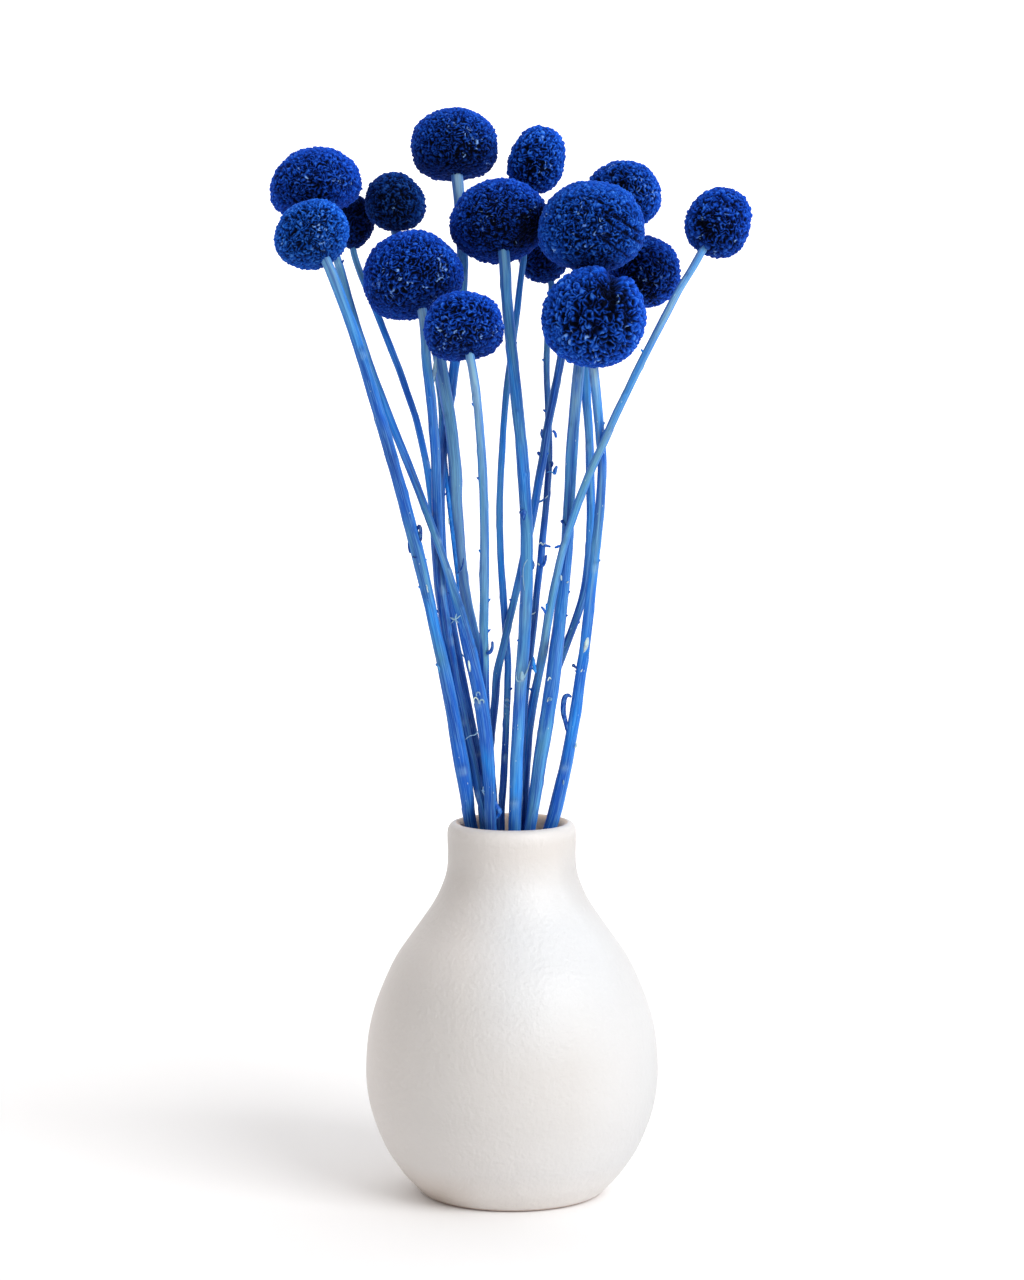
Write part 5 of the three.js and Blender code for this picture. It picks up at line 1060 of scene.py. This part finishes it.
def make_head(k):
    centre, axis, ra, hb, sq, base = HEADS[k]
    centre, M = head_frame(k)
    rng = np.random.default_rng(8000 + k)
    co_ = COARSE.get(k, 1.0)
    R = (ra * ra * hb) ** (1 / 3)
    step_mm = 0.305
    n = int(round(math.sqrt(4 * np.pi * R * R / (0.866 * step_mm ** 2) / 10)))
    U, tri = geodesic(n)
    q4 = rng.normal(0, 1, (3, 3))
    turn, _ = np.linalg.qr(q4)
    if np.linalg.det(turn) < 0:
        turn[:, 0] *= -1
    U = U @ turn.T + 0.18 * (M.T @ np.array([0.0, -1.0, 0.15]))
    U += rng.normal(0, 0.12 * step_mm / R, U.shape)
    U /= np.linalg.norm(U, axis=1)[:, None]
    S, nrm = ball(U, ra, hb, sq, base)

    # ---- florets: one dome round each of a spiral of centres spread over the ball
    gap = 1.78 * co_
    m = int(4 * np.pi * R * R / (0.866 * gap * gap))
    i = np.arange(m) + 0.5
    zc = 1 - 2 * i / m
    ph = i * np.pi * (3 - math.sqrt(5))
    rr = np.sqrt(1 - zc * zc)
    C = np.stack([rr * np.cos(ph), rr * np.sin(ph), zc], 1) + rng.normal(0, 0.17 * gap / R, (m, 3))
    C = (C / np.linalg.norm(C, axis=1)[:, None]) @ turn
    Cs, Cn = ball(C, ra, hb, sq, base)
    near = np.empty(len(U), int)
    d1 = np.empty(len(U))
    d2 = np.empty(len(U))
    for a in range(0, len(U), 6000):
        D = S[a:a + 6000] @ Cs.T * -2 + (Cs ** 2).sum(1)[None] + (S[a:a + 6000] ** 2).sum(1)[:, None]
        o = np.argpartition(D, 1, axis=1)[:, :2]
        v = np.take_along_axis(D, o, 1)
        f = v.argmin(1)
        near[a:a + 6000] = o[np.arange(len(o)), f]
        d1[a:a + 6000] = np.sqrt(np.maximum(v.min(1), 0))
        d2[a:a + 6000] = np.sqrt(np.maximum(v.max(1), 0))
    border = step(d2 - d1, 0.0, 0.50 * co_)
    dome = np.clip(1 - (d1 / (0.62 * gap)) ** 2, 0, 1)
    rel = S - Cs[near]
    e1 = np.cross(Cn, [0.3, 0.5, 0.8])
    e1 /= np.linalg.norm(e1, axis=1)[:, None]
    e2 = np.cross(Cn, e1)
    th = np.arctan2((rel * e2[near]).sum(1), (rel * e1[near]).sum(1))
    th0 = rng.uniform(0, 2 * np.pi, m)[near]
    r0 = rng.uniform(0.40, 0.62, m)[near] * co_
    ring = np.cos(2 * np.pi * (d1 - r0) / (1.12 * co_)) * (0.35 + 0.65 * np.cos(th - th0))
    tall = rng.normal(0, 1, m)[near]
    hue = rng.random(m)[near]

    # ---- curled petals: thin bent lines that run every way, in two layers
    bend = 0.45 * np.stack([waves(S, 3.6, 10 * k + q) for q in range(3)], 1)
    line, _ = ridges(S + bend, nrm, 1.88 * co_, 100 + k, 0.225 * co_)
    line2, _ = ridges(S + bend, nrm, 2.25 * co_, 200 + k, 0.23 * co_)
    line *= 0.46 + 0.54 * step(waves(S, 2.2 * co_, 250 + k), -1.0, 0.0)
    line2 *= 0.30 + 0.50 * step(waves(S, 2.4 * co_, 270 + k), -0.8, 0.3)
    curl = np.clip(0.5 + 0.5 * ring, 0, 1) * 0.55
    stroke = 1 - (1 - line) * (1 - line2) * (1 - 0.24 * curl)
    deep = waves(S, 5.2, 300 + k, 40)
    pit = step(waves(S, 3.1 * co_, 400 + k, 50), 0.95, 1.9) * PITS.get(k, 1.0)
    fine = waves(S, 0.75, 500 + k)

    # on the crown and the flanks the gaps are shallower, and the colour there is painted calmer and lighter: painted
    # light standing in for the soft rim light on a velvety ball
    crown = step(U[:, 2], 0.30, 0.95)
    front = np.clip(-0.97 * (nrm @ M.T)[:, 1] + 0.05 * (nrm @ M.T)[:, 2], 0, 1)
    flank = 1 - step(front, 0.10, 0.84)
    calm = np.clip(0.10 * crown + 0.52 * flank, 0, 0.56)
    pit = pit * (1 - 0.9 * calm)
    hts = (0.56 * (1 - 0.75 * calm) * (stroke - 0.62) * co_ + 0.30 * dome * co_ + 0.13 * tall * border - 0.30 * (1 - border) * co_
           - 0.45 * pit * co_ + 0.02 * fine)
    # painted light and shade in the colour: the crown and the flanks are painted lighter, and the gaps between the
    # florets and the pits are painted darker
    painted_flank_light = 0.96 * np.minimum(calm, 0.38) + 0.58 * np.maximum(calm - 0.38, 0)
    tipv = 0.5 + ((stroke * (1 - 1.15 * calm) + painted_flank_light) * (0.66 + 0.34 * border) * (0.92 + 0.08 * dome) - 0.47) * 1.32
    tipv = np.clip(tipv, 0.02, 1.1) * np.clip(1 - 0.50 * pit, 0.05, 1)
    tipv += 0.02 * tall
    tipv *= 0.96 + 0.08 * np.clip(deep, -1.5, 1.5) / 1.5
    # a petal that catches the eye here and there
    tipv += 0.20 * step(waves(S, 1.9 * co_, 600 + k), 1.25, 1.95) * stroke * (1 - crown)

    # ---- a slow unevenness of the whole ball, and the dimple round the stalk
    slow = 0.16 * waves(S, 17.0, 700 + k, 30)
    ang = np.arccos(np.clip(-U[:, 2], -1, 1))
    collar = 0.35 * np.exp(-(ang * ra / 3.0) ** 2)
    V = (S + nrm * (hts + slow + collar - 0.30)[:, None]) @ M.T
    Wd = U @ M.T
    cleft = np.zeros(len(U))
    for (r_, u_, f_), amp, wid in LUMPS.get(k, []):
        dvec = np.array([r_, -f_, u_], float)
        dvec /= np.linalg.norm(dvec)
        g = np.exp(-(np.arccos(np.clip(Wd @ dvec, -1, 1)) / wid) ** 2)
        V = V + Wd * (amp * g)[:, None]
        if amp < -0.9:
            cleft = np.maximum(cleft, g * min(1.0, -amp / 2.4))
    V = V + centre
    # painted shade: the florets down in a cleft are painted darker
    tipv *= 1 - 0.88 * cleft
    px, py, _ = to_frame(V)
    seen = step((Wd @ (-fwd)), -0.05, 0.25)
    # painted shade inside the slots: they are pushed in and their florets painted darker
    for (x0, y0, x1, y1, wid, deep_, dark) in SLOTS.get(k, []):
        d = np.array([x1 - x0, y1 - y0], float)
        t = np.clip(((px - x0) * d[0] + (py - y0) * d[1]) / (d @ d), 0, 1)
        g = np.exp(-((px - x0 - t * d[0]) ** 2 + (py - y0 - t * d[1]) ** 2) / wid ** 2) * seen * (0.55 + 0.45 * step(waves(S, 2.6, 650 + k), -0.6, 0.4))
        V = V - Wd * (deep_ * g)[:, None]
        tipv *= 1 - dark * g

    # ---- brightness of the colour, painted light and shade: a paler crown, a darker underside and darker where two heads face each other
    mid, under = TONE.get(k, (1.0, 0.8))
    N = nrm @ M.T
    tone = mid * (under + (1 - under) * step(N[:, 2], -0.85, 0.25)) * (1 + 0.15 * step(N[:, 2], 0.1, 0.9))
    # painted light and shade: the florets that face the front are painted darker than the flanks and the crown,
    # standing in for the soft rim light on a velvety ball
    rim = RIM.get(k, 0.0)
    tone *= 1.16 + rim - (0.66 + rim) * front ** 1.6
    # painted shade: darker round the stalk on the underside
    tone *= 1 - 0.45 * np.exp(-(ang * ra / 5.0) ** 2)
    # painted shade: darker where a head faces a neighbouring head close by
    for q in HEADS:
        if q == k:
            continue
        c2, M2 = head_frame(q)
        L = (V - c2) @ M2
        e = np.sqrt((L[:, 0] ** 2 + L[:, 1] ** 2) / HEADS[q][2] ** 2 + L[:, 2] ** 2 / HEADS[q][3] ** 2)
        away = (e - 1) * HEADS[q][2]
        facing = np.clip((N * (c2 - V)).sum(1) / np.linalg.norm(c2 - V, axis=1), 0, 1)
        tone *= 1 - 0.80 * np.exp(-np.maximum(away, 0) / 4.0) * facing

    # painted shade patches: a darker tone and darker gaps
    for (cx, cy, rr_, dark) in SHADE.get(k, []):
        g = dark * np.exp(-((px - cx) ** 2 + (py - cy) ** 2) / rr_ ** 2) * seen
        tone *= 1 - 0.50 * g
        tipv -= 0.85 * g * np.clip(1.05 - tipv, 0, 1)

    ob = link("button_%02d" % k, V, tri)
    # soft shading: the petals' own normals lean towards the ball's
    fn = np.cross(V[tri[:, 1]] - V[tri[:, 0]], V[tri[:, 2]] - V[tri[:, 0]])
    vn = np.stack([np.bincount(tri.ravel(), np.repeat(fn[:, q], 3), len(V)) for q in range(3)], 1)
    vn /= np.maximum(np.linalg.norm(vn, axis=1), 1e-9)[:, None]
    vn = 0.76 * vn + 0.24 * N
    vn /= np.linalg.norm(vn, axis=1)[:, None]
    ob.data.normals_split_custom_set_from_vertices(vn.tolist())
    # ---- dusty petals in patches
    front = (Wd @ (-fwd)) > -0.1
    pale = np.zeros(len(V))
    pick = waves(S, 1.9, 900 + k)
    for (cx, cy, rr_, dens) in DUST.get(k, []):
        g = np.exp(-(((px - cx) ** 2 + (py - cy) ** 2) / rr_ ** 2) ** 1.5) * front
        pale = np.maximum(pale, g ** 0.5 * step(pick + 1.6 * dens * g, 1.2, 1.8) * step(stroke, 0.6, 0.9) * (0.40 + 0.55 * dens))
    put(ob.data, "tip", "FLOAT", np.clip(tipv, 0, 1))
    put(ob.data, "tone", "FLOAT", np.clip(tone, 0, 2))
    put(ob.data, "pale", "FLOAT", np.clip(pale, 0, 1))
    put(ob.data, "azure", "FLOAT", np.clip(AZURE.get(k, 0.0) + 0.25 * (hue - 0.5), 0, 1))
    ob.data.materials.append(floret)
    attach(ob, "root")
    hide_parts("flower_head_%02d" % k)
    return len(tri)


total = sum(make_head(k) for k in HEADS)
print("head triangles", total)

# ------------------------------------------------------------------ floor, backdrop and light
def make_stage():
    # a white sweep: flat floor that curves up into a backdrop far behind
    xs = np.linspace(-6000, 6000, 13)
    prof = [(-6000, 0), (-2500, 0), (0, 0), (1500, 0), (2500, 0)]
    for a in np.linspace(0, 90, 10)[1:]:
        prof.append((2500 + 1500 * math.sin(math.radians(a)), 1500 * (1 - math.cos(math.radians(a)))))
    prof.append((4000, 6000))
    prof = np.array(prof)
    V = np.array([[x, p[0], p[1]] for p in prof for x in xs])
    nx = len(xs)
    F = [[i * nx + j, i * nx + j + 1, (i + 1) * nx + j + 1, (i + 1) * nx + j] for i in range(len(prof) - 1) for j in range(nx - 1)]
    ob = link("white_sweep", V, np.array(F))
    m, nt, b = new_mat("white_sweep")
    b.inputs["Base Color"].default_value = (0.94, 0.94, 0.945, 1)
    b.inputs["Roughness"].default_value = 0.9
    b.inputs["Specular IOR Level"].default_value = 0.1
    co = node(nt, "ShaderNodeTexCoord").outputs["Object"]
    ln = node(nt, "ShaderNodeVectorMath", operation="LENGTH")
    nt.links.new(co, ln.inputs[0])
    # the sweep glows: its emission is faint beside the vase and rises with distance, so the backdrop reads white while
    # the vase's shadow still shows near it
    far = ramp(nt, math_node(nt, "DIVIDE", ln.outputs["Value"], 3.0, clamp=True), [(0.015, (0.03, 0.03, 0.03)), (0.05, (0.06, 0.06, 0.06)), (0.38, (0.62, 0.62, 0.62))])
    b.inputs["Emission Color"].default_value = (1, 1, 1, 1)
    nt.links.new(far, b.inputs["Emission Strength"])
    ob.data.materials.append(m)


make_stage()


def area(name, loc, target, size, watts, color=(1, 1, 1), size_y=None):
    li = bpy.data.lights.new(name, "AREA")
    li.energy = watts
    li.color = color
    li.size = size
    if size_y:
        li.shape = "RECTANGLE"
        li.size_y = size_y
    ob = bpy.data.objects.new(name, li)
    ob.location = loc
    ob.rotation_euler = (Vector(target) - Vector(loc)).to_track_quat("-Z", "Y").to_euler()
    bpy.context.scene.collection.objects.link(ob)


area("key", (1.06, -1.11, 0.97), (0, 0, 0.1), 1.15, 20.5, size_y=0.5)

# the room: brighter above and to the right, a little warmer to the left
world = bpy.data.worlds.new("studio")
bpy.context.scene.world = world
world.use_nodes = True
wn = world.node_tree
bg = wn.nodes["Background"]
tc = wn.nodes.new("ShaderNodeTexCoord")
dot = wn.nodes.new("ShaderNodeVectorMath")
dot.operation = "DOT_PRODUCT"
dot.inputs[1].default_value = (0.15, -0.06, 0.36)
wn.links.new(tc.outputs["Generated"], dot.inputs[0])
add = wn.nodes.new("ShaderNodeMath")
add.inputs[1].default_value = 0.40
wn.links.new(dot.outputs["Value"], add.inputs[0])
wn.links.new(add.outputs[0], bg.inputs["Strength"])
sep = wn.nodes.new("ShaderNodeSeparateXYZ")
wn.links.new(tc.outputs["Generated"], sep.inputs[0])
mr = wn.nodes.new("ShaderNodeMapRange")
mr.inputs["From Min"].default_value = -1.0
mr.inputs["From Max"].default_value = 0.6
wn.links.new(sep.outputs[0], mr.inputs[0])
tint = wn.nodes.new("ShaderNodeValToRGB")
tint.color_ramp.elements[0].color = (1.0, 0.92, 0.87, 1)
tint.color_ramp.elements[1].color = (1.0, 1.0, 1.0, 1)
wn.links.new(mr.outputs[0], tint.inputs[0])
wn.links.new(tint.outputs[0], bg.inputs["Color"])

vs = bpy.context.scene.view_settings
vs.view_transform = "Standard"
vs.look = "None"
vs.exposure = 0.0
vs.gamma = 1.0
